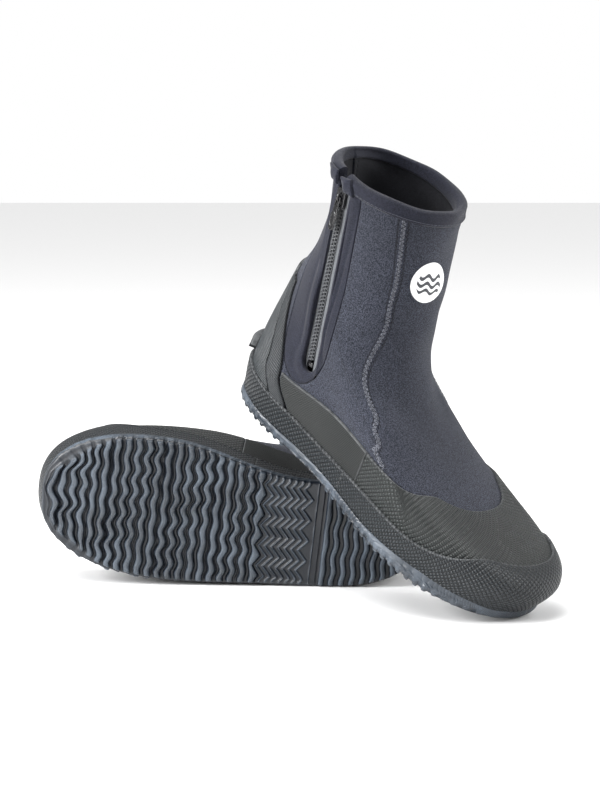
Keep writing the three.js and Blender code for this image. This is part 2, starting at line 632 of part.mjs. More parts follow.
// A boot's matrix, with its lowest point pressed a little way into the ground.
function placed(pose, turn) {
  const box = new THREE.Box3();
  pieces.forEach(({ geometry }) => box.union(new THREE.Box3().setFromBufferAttribute(
    geometry.clone().applyMatrix4(turn).getAttribute("position"))));
  return new THREE.Matrix4().makeTranslation(pose.x, pose.y, -box.min.z - settle).multiply(turn);
}
const places = {
  right: placed(rightPose, turned(rightPose, true).multiply(layDown)),
  left: placed(leftPose, turned(leftPose, false).multiply(mirror)),
};

// A piece that dips below the ground is pressed flat there.
function pressedFlat(geometry, matrix) {
  const world = geometry.clone().applyMatrix4(matrix);
  world.computeBoundingBox();
  if (world.boundingBox.min.z >= 0) return geometry;
  const ground = new THREE.BoxGeometry(1000, 1000, 500).translate(0, 0, 250)
    .applyMatrix4(matrix.clone().invert());
  return common(geometry, matrix.determinant() < 0 ? flipped(ground) : ground);
}
function flipped(geometry) {
  const index = geometry.index.array;
  for (let i = 0; i < index.length; i += 3) [index[i], index[i + 1]] = [index[i + 1], index[i]];
  return geometry;
}

const pair = new THREE.Group();
for (const [side, matrix] of Object.entries(places)) {
  const boot = new THREE.Group();
  boot.applyMatrix4(matrix);
  for (const { name, material, geometry } of pieces) {
    const mesh = new THREE.Mesh(pressedFlat(geometry, matrix), material);
    mesh.name = `${side}_${name}`;
    boot.add(mesh);
  }
  pair.add(boot);
}

// The origin is on the ground under the middle of the pair.
const middle = new THREE.Box3().setFromObject(pair, true).getCenter(new THREE.Vector3());
pair.children.forEach((boot) => boot.position.sub(new THREE.Vector3(middle.x, middle.y, 0)));

// Joint axes of both zips, in the part's frame.
pair.userData.joints = Object.fromEntries(Object.keys(places).map((side, i) => {
  const boot = pair.children[i];
  boot.updateMatrix();
  const point = (p) => p.clone().applyMatrix4(boot.matrix);
  const direction = (v) => v.clone().transformDirection(boot.matrix);
  return [side, { hinge: point(hingePoint), down: direction(down), rearward: direction(rearward),
    proud: direction(proud), chainTop: point(chainTop), chainLength }];
}));
export default pair;
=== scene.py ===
import json
import math

import bmesh
import bpy
import numpy as np
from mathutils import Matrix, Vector


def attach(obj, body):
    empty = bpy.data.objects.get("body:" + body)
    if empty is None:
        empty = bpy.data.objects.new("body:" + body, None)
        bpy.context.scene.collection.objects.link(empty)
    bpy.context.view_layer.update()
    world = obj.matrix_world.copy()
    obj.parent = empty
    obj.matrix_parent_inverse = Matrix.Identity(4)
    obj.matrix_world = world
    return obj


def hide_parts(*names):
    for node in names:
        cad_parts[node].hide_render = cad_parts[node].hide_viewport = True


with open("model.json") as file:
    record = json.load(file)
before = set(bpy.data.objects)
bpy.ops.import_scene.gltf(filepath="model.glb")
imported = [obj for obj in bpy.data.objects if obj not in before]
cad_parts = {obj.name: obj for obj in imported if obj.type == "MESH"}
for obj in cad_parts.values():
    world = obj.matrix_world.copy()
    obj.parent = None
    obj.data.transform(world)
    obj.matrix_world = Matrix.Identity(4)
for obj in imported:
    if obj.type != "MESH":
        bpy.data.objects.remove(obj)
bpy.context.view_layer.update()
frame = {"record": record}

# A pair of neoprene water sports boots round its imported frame. Both boots share one set of surfaces, worked
# out in a right boot's own axes in millimetres: x heel to toe, y to the inner side of the foot, z up from
# the sole line. The frame's zip joints say where each boot lies.
joints = {joint["name"]: joint for joint in frame["record"]["behaviour"]["joints"]}

# ---- Sizes, in millimetres ----------------------------------------------------------------------------
SOLE_LENGTH, HEEL_BACK = 287, 3.5
BALL_INNER, BALL_OUTER = 52.5, 49.5
INSTEP_HALF, ANKLE_HALF, COLLAR_HALF = 45, 43, 49
ANKLE_LENGTH, COLLAR_LENGTH = 103, 98
SHAFT_BACK, SHAFT_FRONT = 189, 202
TOE_SPRING, TOE_SPRING_START = 12, 192
GAP = 0.3
NEOPRENE, RUBBER, FOXING = 5, 1.8, 2
SOLE_TOP, TREAD_TOP, TREAD_DEPTH = -GAP, -GAP - 6, 3
BOARD, FOOTBED = 2, 4
BINDING_FROM, SHELL_TOP, SHELL_BOTTOM = 0.93, 0.985, 0.012
BINDING_WALL = 1.2
ZIP_TOP, ZIP_BOTTOM = (0.925, 111), (0.312, 124)  # height share, angle
TAPE_HALF, TAPE_DEPTH, TAPE_THICK = 10.5, 3.2, 0.8
TEETH_HALF, TEETH_THICK = 3.5, 3
SLIDER_HALF, SLIDER_LENGTH, SLIDER_START = 5.2, 14, 2
PULL_LENGTH, PULL_HALF, PULL_TILT = 24, 3.6, 5
SURROUND_REAR, SURROUND_FRONT, SURROUND_BELOW = 30, 20, 17
MARK_RADIUS, MARK_HEIGHT, MARK_ANGLE = 15.5, 0.755, 12
RUBBER_IN, RUBBER_OUT = GAP, GAP + RUBBER
FOXING_IN = RUBBER_OUT + GAP
FOXING_OUT = FOXING_IN + FOXING
RUBBER_SPLIT, FOXING_SPLIT = 142, 131  # toe cap to rands, and front foxing to heel foxing, from the heel
COUNTER_TOP, STAY_WIDTH = 0.47, 9
SLOT_REAR, SLOT_FRONT = SLIDER_HALF + GAP, -10.0  # edges of the zip's slot, rearward of the chain
SLOT_BELOW, SLOT_ROUND, SURROUND_ROUND = 5.5, 9, 52  # under the chain, and depths of the two U's round ends
TOOTH_PITCH, TOOTH_CLEAR = 2.7, 5
HEEL_PITCH, FORE_PITCH = 7.4, 7.7  # from rib to rib
HEEL_RIB, FORE_RIB = 5.4, 6.1  # widths of a rib
ARCH_FROM, ARCH_TO = 76, 120
ZIGZAG_FROM, ZIGZAG_TO, ZIGZAG_PITCH = 85, 118, 4.9
LIP_HIGH, LIP_FROM, LIP_TO = 4.3, 150, 235  # the sole's raised lip grows between two places from the heel
MOUTH_GAP = 6.5  # degrees from the zip to the binding's ends
MOUTH_FROM, MOUTH_TO = ZIP_TOP[1] + MOUTH_GAP, 360 + ZIP_TOP[1] - MOUTH_GAP
BAFFLE_HALF, BAFFLE_THICK = 27, 1.3  # degrees each side of the zip, and millimetres
SPLIT_HEIGHT, FOXING_SPLIT_HEIGHT = 0.25, 0.08  # height shares at which the two splits are placed
STITCH = 3.1  # length of a seam stitch
SHARP_FROM = 50  # degrees between faces from which an edge is drawn sharp

# Rings from the sole line to the mouth: back x z, front x z, widest place, half widths inner and outer,
# squareness front and back, waist inner and outer.
RINGS = np.array([
    [HEEL_BACK + 6, 0, SOLE_LENGTH - 6, 0, 0.68, BALL_INNER - 3, BALL_OUTER - 3, 2.35, 2.55, 0.28, 0.1],
    [HEEL_BACK, 20, SOLE_LENGTH, 20, 0.68, BALL_INNER, BALL_OUTER, 2.35, 2.55, 0.26, 0.09],
    [HEEL_BACK - 2, 48, SOLE_LENGTH - 18, 35, 0.67, BALL_INNER + 1, BALL_OUTER + 1, 2.25, 2.5, 0.2, 0.07],
    [HEEL_BACK - 3, 78, 198, 53, 0.62, INSTEP_HALF + 1, INSTEP_HALF, 2.1, 2.3, 0.06, 0.03],
    [2, 104, 134, 80, 0.56, ANKLE_HALF + 1, ANKLE_HALF + 1, 2, 2.15, 0.02, 0.01],
    [5, 130, 5 + ANKLE_LENGTH, 124, 0.52, ANKLE_HALF, ANKLE_HALF, 2, 2.05, 0, 0],
    [1, 154, ANKLE_LENGTH - 2, 153, 0.5, ANKLE_HALF + 1.5, ANKLE_HALF + 1.5, 2, 2, 0, 0],
    [-7, SHAFT_BACK - 12, COLLAR_LENGTH - 8, SHAFT_FRONT - 18, 0.5, COLLAR_HALF - 2, COLLAR_HALF - 2,
     2, 2, 0, 0],
    [-14, SHAFT_BACK, COLLAR_LENGTH - 14, SHAFT_FRONT, 0.5, COLLAR_HALF, COLLAR_HALF, 2, 2, 0, 0],
])


def ease(value, start, end):
    """Smoothstep from 0 at start to 1 at end."""
    share = np.clip((value - start) / (end - start), 0, 1)
    return share * share * (3 - 2 * share)


def along(knots, place):
    """A value that eases between [place, value] knots."""
    at, value = np.array(knots, float).T
    place = np.asarray(place, float)
    i = np.clip(np.searchsorted(at, place) - 1, 0, len(at) - 2)
    return value[i] + (value[i + 1] - value[i]) * ease((place - at[i]) / (at[i + 1] - at[i]), 0, 1)


def bell(value, middle, width):
    """exp of minus the squared distance from the middle in widths."""
    return np.exp(-((value - middle) / width) ** 2)


def front_seam(height):
    """Angle of the seam between the front panel and the quarters."""
    return along([[0.25, 91], [0.31, 92], [0.36, 84], [0.42, 71], [0.62, 44], [0.95, 47]], height)


def rubber_top(angle):
    """Height share at which the toe cap and the rands end."""
    return along([[0, 0.335], [50, 0.33], [97, 0.275], [137, 0.215]], np.abs(angle))


def foxing_top(angle):
    """Height share of the foxing's upper edge."""
    return along([[0, 0.232], [40, 0.232], [92, 0.125], [112, 0.1], [130, 0.113], [180, 0.14]], np.abs(angle))


def counter_edge(height):
    """Angle of the heel stay's front edge."""
    return along([[0.1, 130], [0.2, 137], [0.47, 147]], height)


# ---- The upper's surface ------------------------------------------------------------------------------
def spring(x):
    """Lift of the sole line: toe spring times the squared share of the way from its start to the toe."""
    return TOE_SPRING * np.clip((x - TOE_SPRING_START) / (SOLE_LENGTH - TOE_SPRING_START), 0, 1.1) ** 2


def ring_at(height):
    """The ring at a height share, by a Catmull-Rom curve through the rings."""
    last = len(RINGS) - 1
    place = np.clip(height, 0, 1) * last
    i = np.minimum(place.astype(int), last - 1)
    t = (place - i)[..., None]
    a, b, c, d = (RINGS[np.clip(i + k, 0, last)] for k in (-1, 0, 1, 2))
    square, cube = 2 * a - 5 * b + 4 * c - d, 3 * b - a - 3 * c + d
    return 0.5 * (2 * b + (c - a) * t + square * t ** 2 + cube * t ** 3)


def skin(height, angle):
    """Neoprene's outer face: on each ring a superellipse, by cos and sin of the angle to the power 2/n, from
    the back point to the front point and to a half width on each side. Angle 0 is the front, 90 the inner
    side and 180 the back."""
    height, angle = np.broadcast_arrays(np.asarray(height, float), np.asarray(angle, float))
    ring = np.moveaxis(ring_at(height), -1, 0)
    xb, zb, xf, zf, wide, inner, outer, n_front, n_back, waist_in, waist_out = ring
    c, s = np.cos(np.radians(angle)), np.sin(np.radians(angle))
    ahead = c > 0
    n = np.where(ahead, n_front, n_back)
    reach = np.abs(c) ** (2 / n)
    share = wide + np.sign(c) * reach * np.where(ahead, 1 - wide, wide)
    waist = np.where(ahead, 0, np.where(s > 0, waist_in, waist_out)) * np.sin(np.pi * reach) ** 2
    x = xb + (xf - xb) * share
    y = np.where(s > 0, inner, outer) * np.sign(s) * np.abs(s) ** (2 / n) * (1 - waist)
    return np.stack([x, y, zb + (zf - zb) * share + spring(x)], -1)


def unit(v):
    """Vectors divided by their lengths."""
    return v / np.linalg.norm(v, axis=-1, keepdims=True)


def outward(height, angle):
    """Unit normal, as the cross product of the ways round and up."""
    h = np.clip(height, 0.01, 0.99)
    up = skin(h + 0.01, angle) - skin(h - 0.01, angle)
    return unit(np.cross(skin(h, angle + 1.5) - skin(h, angle - 1.5), up))


def slack(height, angle):
    """Soft unevenness of the worn-in shaft in mm: three slow waves and two shallow creases over the instep,
    faded out on the rubber, at the mouth and round the zip."""
    turn = np.mod(np.asarray(angle, float) + 180, 360) - 180
    waves = (0.7 * np.sin(6.3 * (2.1 * height + turn / 150) + 0.6)
             + 0.45 * np.sin(6.3 * (3.9 * height - turn / 95) + 2.1)
             + 0.25 * np.sin(6.3 * (7.5 * height + turn / 60) + 4.0))
    lean = height + 0.0006 * np.abs(turn)
    creases = -1.1 * bell(lean, 0.50, 0.018) - 0.8 * bell(lean, 0.575, 0.02)
    creases = creases * bell(turn, 0, 75)
    zip_clear = 1 - bell(turn, 115, 42)
    return (waves + creases) * ease(height, 0.38, 0.5) * (1 - 0.6 * ease(height, 0.85, 1)) * zip_clear


def layer(height, angle, offset):
    """The skin moved out by an offset, with the shaft's slack."""
    height, angle = np.broadcast_arrays(np.asarray(height, float), np.asarray(angle, float))
    away = np.asarray(offset) + slack(height, angle)
    return skin(height, angle) + outward(height, angle) * away[..., None]


# ---- The zip's own plane ------------------------------------------------------------------------------
chain_top, chain_end = skin(*ZIP_TOP), skin(*ZIP_BOTTOM)
CHAIN = np.linalg.norm(chain_end - chain_top)
down = unit(chain_end - chain_top)
proud = outward(0.6, 115)
proud = unit(proud - down * proud.dot(down))
rearward = unit(np.cross(proud, down))
TAPE_TOP = -TAPE_DEPTH
TEETH_MIDDLE = TAPE_TOP - TAPE_THICK / 2
TEETH_TOP, TEETH_BOTTOM = TEETH_MIDDLE + TEETH_THICK / 2, TEETH_MIDDLE - TEETH_THICK / 2
PLATE_LOW, PLATE_HIGH = TEETH_TOP + GAP, TEETH_TOP + GAP + 1.5
BACK_LOW, BACK_HIGH = TEETH_BOTTOM - GAP - 1, TEETH_BOTTOM - GAP
HINGE_DOWN, HINGE_HIGH = SLIDER_START + 6.5, PLATE_HIGH + 1
hinge_point = chain_top + down * HINGE_DOWN + proud * HINGE_HIGH


def in_zip(f, d, p):
    """A point from its distances rearward, down the chain and proud of the chain's plane."""
    f, d, p = np.broadcast_arrays(*(np.asarray(v, float) for v in (f, d, p)))
    return chain_top + f[..., None] * rearward + d[..., None] * down + p[..., None] * proud


def zip_share(points):
    """A point's distances rearward, down and proud."""
    away = points - chain_top
    return away @ rearward, away @ down, away @ proud


def on_skin(f, d):
    """Height and angle of the skin point under a place in the zip's plane, by Newton steps."""
    height = ZIP_TOP[0] + (ZIP_BOTTOM[0] - ZIP_TOP[0]) * d / CHAIN
    angle = 113 - 1.2 * f
    for _ in range(14):
        here = np.stack(zip_share(skin(height, angle))[:2], -1)
        by_height = (np.stack(zip_share(skin(height + 1e-3, angle))[:2], -1) - here) / 1e-3
        by_angle = (np.stack(zip_share(skin(height, angle + 0.1))[:2], -1) - here) / 0.1
        miss = np.stack([f, d], -1) - here
        det = by_height[..., 0] * by_angle[..., 1] - by_height[..., 1] * by_angle[..., 0]
        dh = (miss[..., 0] * by_angle[..., 1] - miss[..., 1] * by_angle[..., 0]) / det
        da = (by_height[..., 0] * miss[..., 1] - by_height[..., 1] * miss[..., 0]) / det
        height = np.clip(height + np.clip(dh, -0.06, 0.06), 0.02, 0.998)
        angle = np.clip(angle + np.clip(da, -9, 9), 40, 200)
    return height, angle


# ---- Forms and pieces ---------------------------------------------------------------------------------
def quads(rows, columns, start=0, round_rows=False, round_columns=False):
    """Corner numbers of a grid's faces."""
    r = np.arange(rows if round_rows else rows - 1)
    c = np.arange(columns if round_columns else columns - 1)
    r, c = (m.ravel() for m in np.meshgrid(r, c, indexing="ij"))
    r1, c1 = (r + 1) % rows, (c + 1) % columns
    return start + np.stack([r * columns + c, r * columns + c1, r1 * columns + c1, r1 * columns + c], -1)


def form(points, faces, uv=None, parts=None, **values):
    """A closed form: its corners, faces, places on the material in mm, material numbers and values."""
    points = points.reshape(-1, 3)
    uv = np.zeros((len(points), 2)) if uv is None else uv.reshape(-1, 2)
    parts = np.zeros(len(faces), int) if parts is None else parts
    middle = points.mean(0)
    a, b, c, d = (points[faces[:, k]] - middle for k in range(4))
    volume = np.sum(a * np.cross(b, c)) + np.sum(a * np.cross(c, d))
    if volume < 0:
        faces = faces[:, ::-1]
    return {"points": points, "faces": faces, "uv": uv, "parts": parts,
            "values": {k: np.broadcast_to(v, len(points)) if np.ndim(v) == 0 else v.ravel()
                       for k, v in values.items()}}


def run_of(points, axis):
    """Length run along an axis of a grid of points, from 0, on each of its lines."""
    step = np.linalg.norm(np.diff(points, axis=axis), axis=-1)
    return np.cumsum(np.concatenate([np.zeros_like(np.take(step, [0], axis)), step], axis), axis)


def sheet(outer, inner, **values):
    """A closed body between two grids of points, joined round their edges. Faces of the inner grid take the
    second material. Its uv is the length run round and up in mm."""
    rows, columns = outer.shape[:2]
    n = rows * columns
    number = np.arange(n).reshape(rows, columns)
    rim = np.concatenate([number[0], number[1:, -1], number[-1, -2::-1], number[-2:0:-1, 0]])
    nxt = np.roll(rim, -1)
    edge = np.stack([rim, rim + n, nxt + n, nxt], -1)
    out = quads(rows, columns)
    faces = np.concatenate([out, n + out[:, ::-1], edge])
    parts = np.repeat([0, 1, 0], [len(out), len(out), len(edge)])
    u = run_of(outer, 1)[rows // 2][None].repeat(rows, 0)
    v = run_of(outer, 0)
    uv = np.stack([u, v], -1)
    both = {k: np.concatenate([np.broadcast_to(w, (rows, columns)).ravel()] * 2) for k, w in values.items()}
    return form(np.concatenate([outer.reshape(-1, 3), inner.reshape(-1, 3)]), faces,
                np.concatenate([uv.reshape(-1, 2)] * 2), parts, **both)


def steps(count, edge_share=0.0):
    """From 0 to 1 in even steps, with four short ones at each end for a rounded edge."""
    even = np.linspace(0, 1, count + 1)
    if not edge_share:
        return even
    near = edge_share * np.array([0, 0.08, 0.3, 0.62, 1])
    inner = even[(even > edge_share * 1.2) & (even < 1 - edge_share * 1.2)]
    return np.concatenate([near, inner, 1 - near[::-1]])


def edge_away(points):
    """Distance of each grid point from the nearest edge of the grid, in mm."""
    across, up = run_of(points, 1), run_of(points, 0)
    return np.minimum(np.minimum(across, across[:, -1:] - across), np.minimum(up, up[-1:] - up))


def rounded(away, radius):
    """How far a quarter-round edge drops: radius minus the root of radius squared less the square of what is
    left to the radius."""
    short = radius - np.minimum(away, radius)
    return radius - np.sqrt(np.maximum(radius ** 2 - short ** 2, 0))


def panel(height, angle, edge, **values):
    """A neoprene panel over grids of heights and angles, with rounded edges."""
    away = edge_away(skin(height, angle))
    drop = rounded(away, edge)
    outer = layer(height, angle, -drop)
    inner = layer(height, angle, -NEOPRENE + 0.25 * drop)
    return sheet(outer, inner, away=away, **values)


def between(low, high, first, last, rows, columns, edge_share=0.012):
    """Grids of heights and angles: the heights may depend on the share across, the angles on the height."""
    v, u = steps(rows, edge_share), steps(columns, edge_share)
    low, high = (np.broadcast_to(f(u) if callable(f) else f, u.shape) for f in (low, high))
    height = low + (high - low) * v[:, None]
    start, end = (f(height) if callable(f) else np.full_like(height, f) for f in (first, last))
    return height, start + (end - start) * u


def tube(path, radius, sides):
    """A round tube carried along a path of points: a circle by cos and sin across it, its ends drawn to a
    point."""
    path = np.asarray(path, float)
    way = unit(np.gradient(path, axis=0))
    side = unit(np.cross(way, [0.31, 0.27, 0.91]))
    other = np.cross(way, side)
    phase = np.arange(sides) * 2 * np.pi / sides
    ring = np.cos(phase)[:, None] * side[:, None] + np.sin(phase)[:, None] * other[:, None]
    first, last = (np.repeat(path[None, end], sides, 1) for end in (slice(1), slice(-1, None)))
    points = np.concatenate([first, path[:, None] + ring * radius, last])
    run = run_of(path[None], 1)[0]
    run = np.concatenate([[0], run, run[-1:]])
    uv = np.stack(np.broadcast_arrays(np.arange(sides)[None] / sides, run[:, None]), -1)
    return form(points, quads(len(points), sides, round_columns=True), uv)


def block(middle, half, axes, sharp=0.28, rows=8, columns=16):
    """A rounded box: a superellipsoid whose cosines and sines are raised to a small power."""
    lat = np.linspace(-np.pi / 2, np.pi / 2, rows + 1)[:, None]
    lon = np.arange(columns)[None] * 2 * np.pi / columns
    soft = lambda v, p: np.sign(v) * np.abs(v) ** p
    shape = np.stack(np.broadcast_arrays(
        soft(np.cos(lat), sharp) * soft(np.cos(lon), sharp),
        soft(np.cos(lat), sharp) * soft(np.sin(lon), sharp), soft(np.sin(lat), sharp)), -1)
    points = np.asarray(middle) + (shape * np.asarray(half)) @ np.asarray(axes)
    uv = np.stack(np.broadcast_arrays(lon * half[0], lat * half[2]), -1)
    return form(points, quads(rows + 1, columns, round_columns=True), uv)


def joined(forms):
    """Several closed forms as one."""
    starts = np.cumsum([0] + [len(f["points"]) for f in forms[:-1]])
    names = set().union(*(f["values"] for f in forms))
    return {"points": np.concatenate([f["points"] for f in forms]),
            "faces": np.concatenate([f["faces"] + s for f, s in zip(forms, starts)]),
            "uv": np.concatenate([f["uv"] for f in forms]),
            "parts": np.concatenate([f["parts"] for f in forms]),
            "values": {k: np.concatenate([f["values"].get(k, np.zeros(len(f["points"]))) for f in forms])
                       for k in names}}


def put(name, data):
    """A new object with its data, linked to the scene."""
    made = bpy.data.objects.new(name, data)
    bpy.context.scene.collection.objects.link(made)
    return made


def placing(side):
    """The matrix and shift from a right boot's axes to where this boot lies. The zip's slide and hinge axes,
    known in both, give the turn, and the hinge point gives the shift."""
    mirror = np.diag([1, -1 if side == "left" else 1, 1])
    d, p, hinge = (mirror @ v for v in (down, proud, hinge_point))
    slide = unit(np.array(joints[f"{side}_zip_slide"]["axis"], float))
    turn_axis = np.array(joints[f"{side}_pull_hinge"]["axis"], float)
    turn_axis = unit(turn_axis - slide * turn_axis.dot(slide))
    there = np.stack([slide, np.cross(turn_axis, slide), turn_axis], -1)
    here = np.stack([d, p, np.cross(d, p)], -1)
    turn = there @ here.T
    return turn @ mirror, np.array(joints[f"{side}_pull_hinge"]["pos_m"]) * 1000 - turn @ hinge


def add_piece(side, name, made, finishes, body, nodes):
    """A Blender mesh of a form, set where its boot lies, pressed flat on the ground and smoothly shaded."""
    matrix, shift = placing(side)
    points = made["points"] @ matrix.T + shift
    points[:, 2] = np.maximum(points[:, 2], 0)
    faces = made["faces"] if side == "right" else made["faces"][:, ::-1]
    mesh = bpy.data.meshes.new(f"{side}_{name}")
    mesh.from_pydata((points / 1000).tolist(), [], [list(dict.fromkeys(f)) for f in faces.tolist()])
    for finish in finishes:
        mesh.materials.append(finish)
    count = len(mesh.polygons)
    mesh.polygons.foreach_set("material_index", np.minimum(made["parts"], len(finishes) - 1)[:count])
    mesh.polygons.foreach_set("use_smooth", np.ones(count, bool))
    corner = np.empty(len(mesh.loops), np.int32)
    mesh.loops.foreach_get("vertex_index", corner)
    mesh.uv_layers.new(name="UVMap").data.foreach_set("uv", made["uv"][corner].ravel())
    for key, value in made["values"].items():
        mesh.attributes.new(key, "FLOAT", "POINT").data.foreach_set("value", value.astype(np.float32))
    work = bmesh.new()
    work.from_mesh(mesh)
    bmesh.ops.remove_doubles(work, verts=work.verts, dist=2e-6)
    bmesh.ops.dissolve_degenerate(work, dist=1e-6, edges=work.edges)
    work.to_mesh(mesh)
    work.free()
    mesh.set_sharp_from_angle(angle=math.radians(SHARP_FROM))
    piece = put(f"{side}_{name}", mesh)
    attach(piece, f"{side}_{body}")
    if nodes:
        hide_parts(*(f"{side}_{node}" for node in nodes))
    return piece


# ---- Finishes -----------------------------------------------------------------------------------------
class Finish:
    """A material under construction. Each method adds a node and returns its socket."""

    def __init__(self, name, roughness=0.5, **settings):
        self.material = bpy.data.materials.new(name)
        self.material.use_nodes = True
        self.tree = self.material.node_tree
        self.shader = self.tree.nodes["Principled BSDF"]
        self.shader.inputs["Roughness"].default_value = roughness
        for key, value in settings.items():
            self.shader.inputs[key.replace("_", " ")].default_value = value

    def node(self, kind, *values, output=0, **settings):
        made = self.tree.nodes.new("ShaderNode" + kind)
        for key, value in settings.items():
            setattr(made, key, value)
        for socket, value in zip(made.inputs, values):
            if isinstance(value, bpy.types.NodeSocket):
                self.tree.links.new(value, socket)
            elif value is not None:
                socket.default_value = value
        return made.outputs[output]

    def math(self, operation, *values):
        return self.node("Math", *values, operation=operation)

    def uv(self):
        place = self.node("SeparateXYZ", self.node("UVMap"))
        return place, place.node.outputs[1]

    def value(self, name):
        return self.node("Attribute", attribute_name=name, output=2)

    def noise(self, scale, detail=2.0, rough=0.5):
        place = self.node("TexCoord", output=3)
        return self.node("TexNoise", place, None, scale, detail, rough)

    def between(self, value, low, high, to_low=0.0, to_high=1.0):
        return self.node("MapRange", value, low, high, to_low, to_high, interpolation_type="SMOOTHSTEP")

    def wave(self, value, pitch):
        """Ridges from 0 to 1, a pitch apart: the size of the sine of pi times the value over the pitch."""
        return self.math("ABSOLUTE", self.math("SINE", self.math("MULTIPLY", value, math.pi / pitch)))

    def mix(self, share, a, b):
        made = self.tree.nodes.new("ShaderNodeMix")
        made.data_type = "RGBA"
        for socket, value in zip((made.inputs[0], made.inputs[6], made.inputs[7]), (share, a, b)):
            if isinstance(value, bpy.types.NodeSocket):
                self.tree.links.new(value, socket)
            else:
                socket.default_value = (*value, 1) if np.ndim(value) else value
        return made.outputs[2]

    def paint(self, socket, name="Base Color"):
        self.tree.links.new(socket, self.shader.inputs[name])

    def relief(self, *layers):
        """Bumps laid over each other, each a height socket and a depth in metres."""
        normal = None
        for height, depth in layers:
            made = self.tree.nodes.new("ShaderNodeBump")
            made.inputs["Distance"].default_value = depth
            self.tree.links.new(height, made.inputs["Height"])
            if normal:
                self.tree.links.new(normal, made.inputs["Normal"])
            normal = made.outputs[0]
        self.tree.links.new(normal, self.shader.inputs["Normal"])
        return self.material


def knit(name, dark, light, fleck=2300, sheen=0.08, fine=1e-4):
    """Knitted jersey: flecked yarn, faint wales, slow shade changes, and needle holes beside a seam."""
    f = Finish(name, 0.85, Sheen_Weight=sheen, Sheen_Roughness=0.45, Specular_IOR_Level=0.25)
    fleck_noise = f.noise(fleck, 3, 0.65)
    flecks = f.between(fleck_noise, 0.4, 0.62)
    shade = f.between(f.noise(16, 3), 0.3, 0.7)
    u, _ = f.uv()
    wales = f.wave(f.math("ADD", u, f.math("MULTIPLY", shade, 0.3)), 0.95)
    colour = f.mix(flecks, dark, light)
    colour = f.mix(f.math("MULTIPLY", shade, 0.25), colour, tuple(0.7 * c for c in dark))
    away = f.math("ABSOLUTE", f.math("SUBTRACT", f.value("seam_gap"), 3.4))
    stitch = f.math("FRACT", f.math("DIVIDE", f.value("seam_run"), STITCH))
    step = f.math("ABSOLUTE", f.math("SUBTRACT", stitch, 0.5))
    hole = f.math("MULTIPLY", f.between(away, 1.0, 0.4), f.between(step, 0.34, 0.2))
    colour = f.mix(f.math("MULTIPLY", hole, 0.9), colour, (0.004, 0.004, 0.008))
    f.paint(colour)
    return f.relief((f.math("MULTIPLY", hole, -1.0), 6e-4), (wales, fine), (fleck_noise, 2.5 * fine))


def moulded(name, colour, pattern, rough=0.36, edge=(0.12, 0.125, 0.13), edge_share=0.7, pitch=2.4,
            deep=5e-4):
    """Moulded rubber, embossed: painted shade in hollows, painted light on crowns, dust patches, patchy edge
    colour.
    """
    f = Finish(name, rough, Specular_IOR_Level=0.36)
    u, v = f.uv()
    diamond = f.math("POWER", f.math("MULTIPLY", f.wave(f.math("ADD", u, v), pitch),
                                     f.wave(f.math("SUBTRACT", u, v), pitch)), 0.6)
    ribs = f.wave(v, 2.1)
    if pattern == "diamond":
        height = diamond
    elif pattern == "cap":
        fine = f.wave(u, 1.6)
        top = f.value("on_top")
        height = f.math("ADD", f.math("MULTIPLY", diamond, f.math("SUBTRACT", 1.0, top)),
                        f.math("MULTIPLY", f.math("ADD", f.math("MULTIPLY", fine, 0.25), 0.4), top))
    elif pattern == "ribs":
        height = ribs
    elif pattern == "fine":
        height = f.math("MULTIPLY", f.wave(f.math("ADD", v, f.math("MULTIPLY", u, 0.35)), 1.35), 0.7)
    else:
        height = f.math("MULTIPLY", f.noise(700, 2), 0.3)
    cloud = f.between(f.noise(22, 4, 0.6), 0.3, 0.7)
    # Colour by emboss height: painted shade in the hollows, painted light on the crowns; the dust is random
    # patches.
    painted_hollow_shade, crown, dust = (tuple(share * c for c in colour) for share in (0.3, 1.45, 0.75))
    shade = f.mix(f.math("MULTIPLY", height, 0.9), painted_hollow_shade, crown)
    shade = f.mix(f.math("MULTIPLY", cloud, 0.35), shade, dust)
    # Within a millimetre of its edges the rubber takes the edge colour, patchy by noise.
    rim = f.math("MULTIPLY", f.between(f.value("away"), 0.95, 0.35),
                 f.between(f.noise(260, 2), 0.35, 0.6, 0.35, edge_share))
    f.paint(f.mix(rim, shade, edge))
    shine = f.math("ADD", f.between(height, 0.2, 0.9, rough + 0.4, rough), f.math("MULTIPLY", cloud, 0.06))
    f.paint(shine, "Roughness")
    return f.relief((height, deep), (f.noise(1400, 2), 4e-5))


def tread_rubber():
    """Outsole rubber: grooves painted near black as shade, slate ribs with fine lines across them and scuffed
    tops.
    """
    f = Finish("tread_rubber", 0.3, Specular_IOR_Level=0.5)
    u, _ = f.uv()
    top = f.between(f.value("depth"), 0.7, 2.3)
    cloud = f.between(f.noise(30, 4, 0.6), 0.35, 0.68)
    lines = f.wave(f.math("ADD", u, f.math("MULTIPLY", f.noise(90, 1), 1.2)), 0.85)
    slate = f.mix(cloud, (0.022, 0.029, 0.039), (0.070, 0.088, 0.112))
    # Painted shade: where the depth value is low, in the grooves, the colour goes near black.
    f.paint(f.mix(top, (0.003, 0.005, 0.009), slate))
    f.paint(f.between(cloud, 0, 1, 0.3, 0.48), "Roughness")
    return f.relief((f.math("MULTIPLY", lines, top), 3.2e-4), (f.noise(520, 3), 1.2e-4))


def plastic(name, colour, rough=0.28):
    """Moulded acetal or coated metal with faint scuffs."""
    f = Finish(name, rough, Specular_IOR_Level=0.6)
    scuff = f.between(f.noise(900, 3, 0.7), 0.45, 0.75)
    f.paint(f.mix(f.math("MULTIPLY", scuff, 0.35), colour, tuple(2.2 * c + 0.004 for c in colour)))
    f.paint(f.between(scuff, 0, 1, rough, rough + 0.2), "Roughness")
    return f.relief((f.noise(1500, 2), 3e-5))


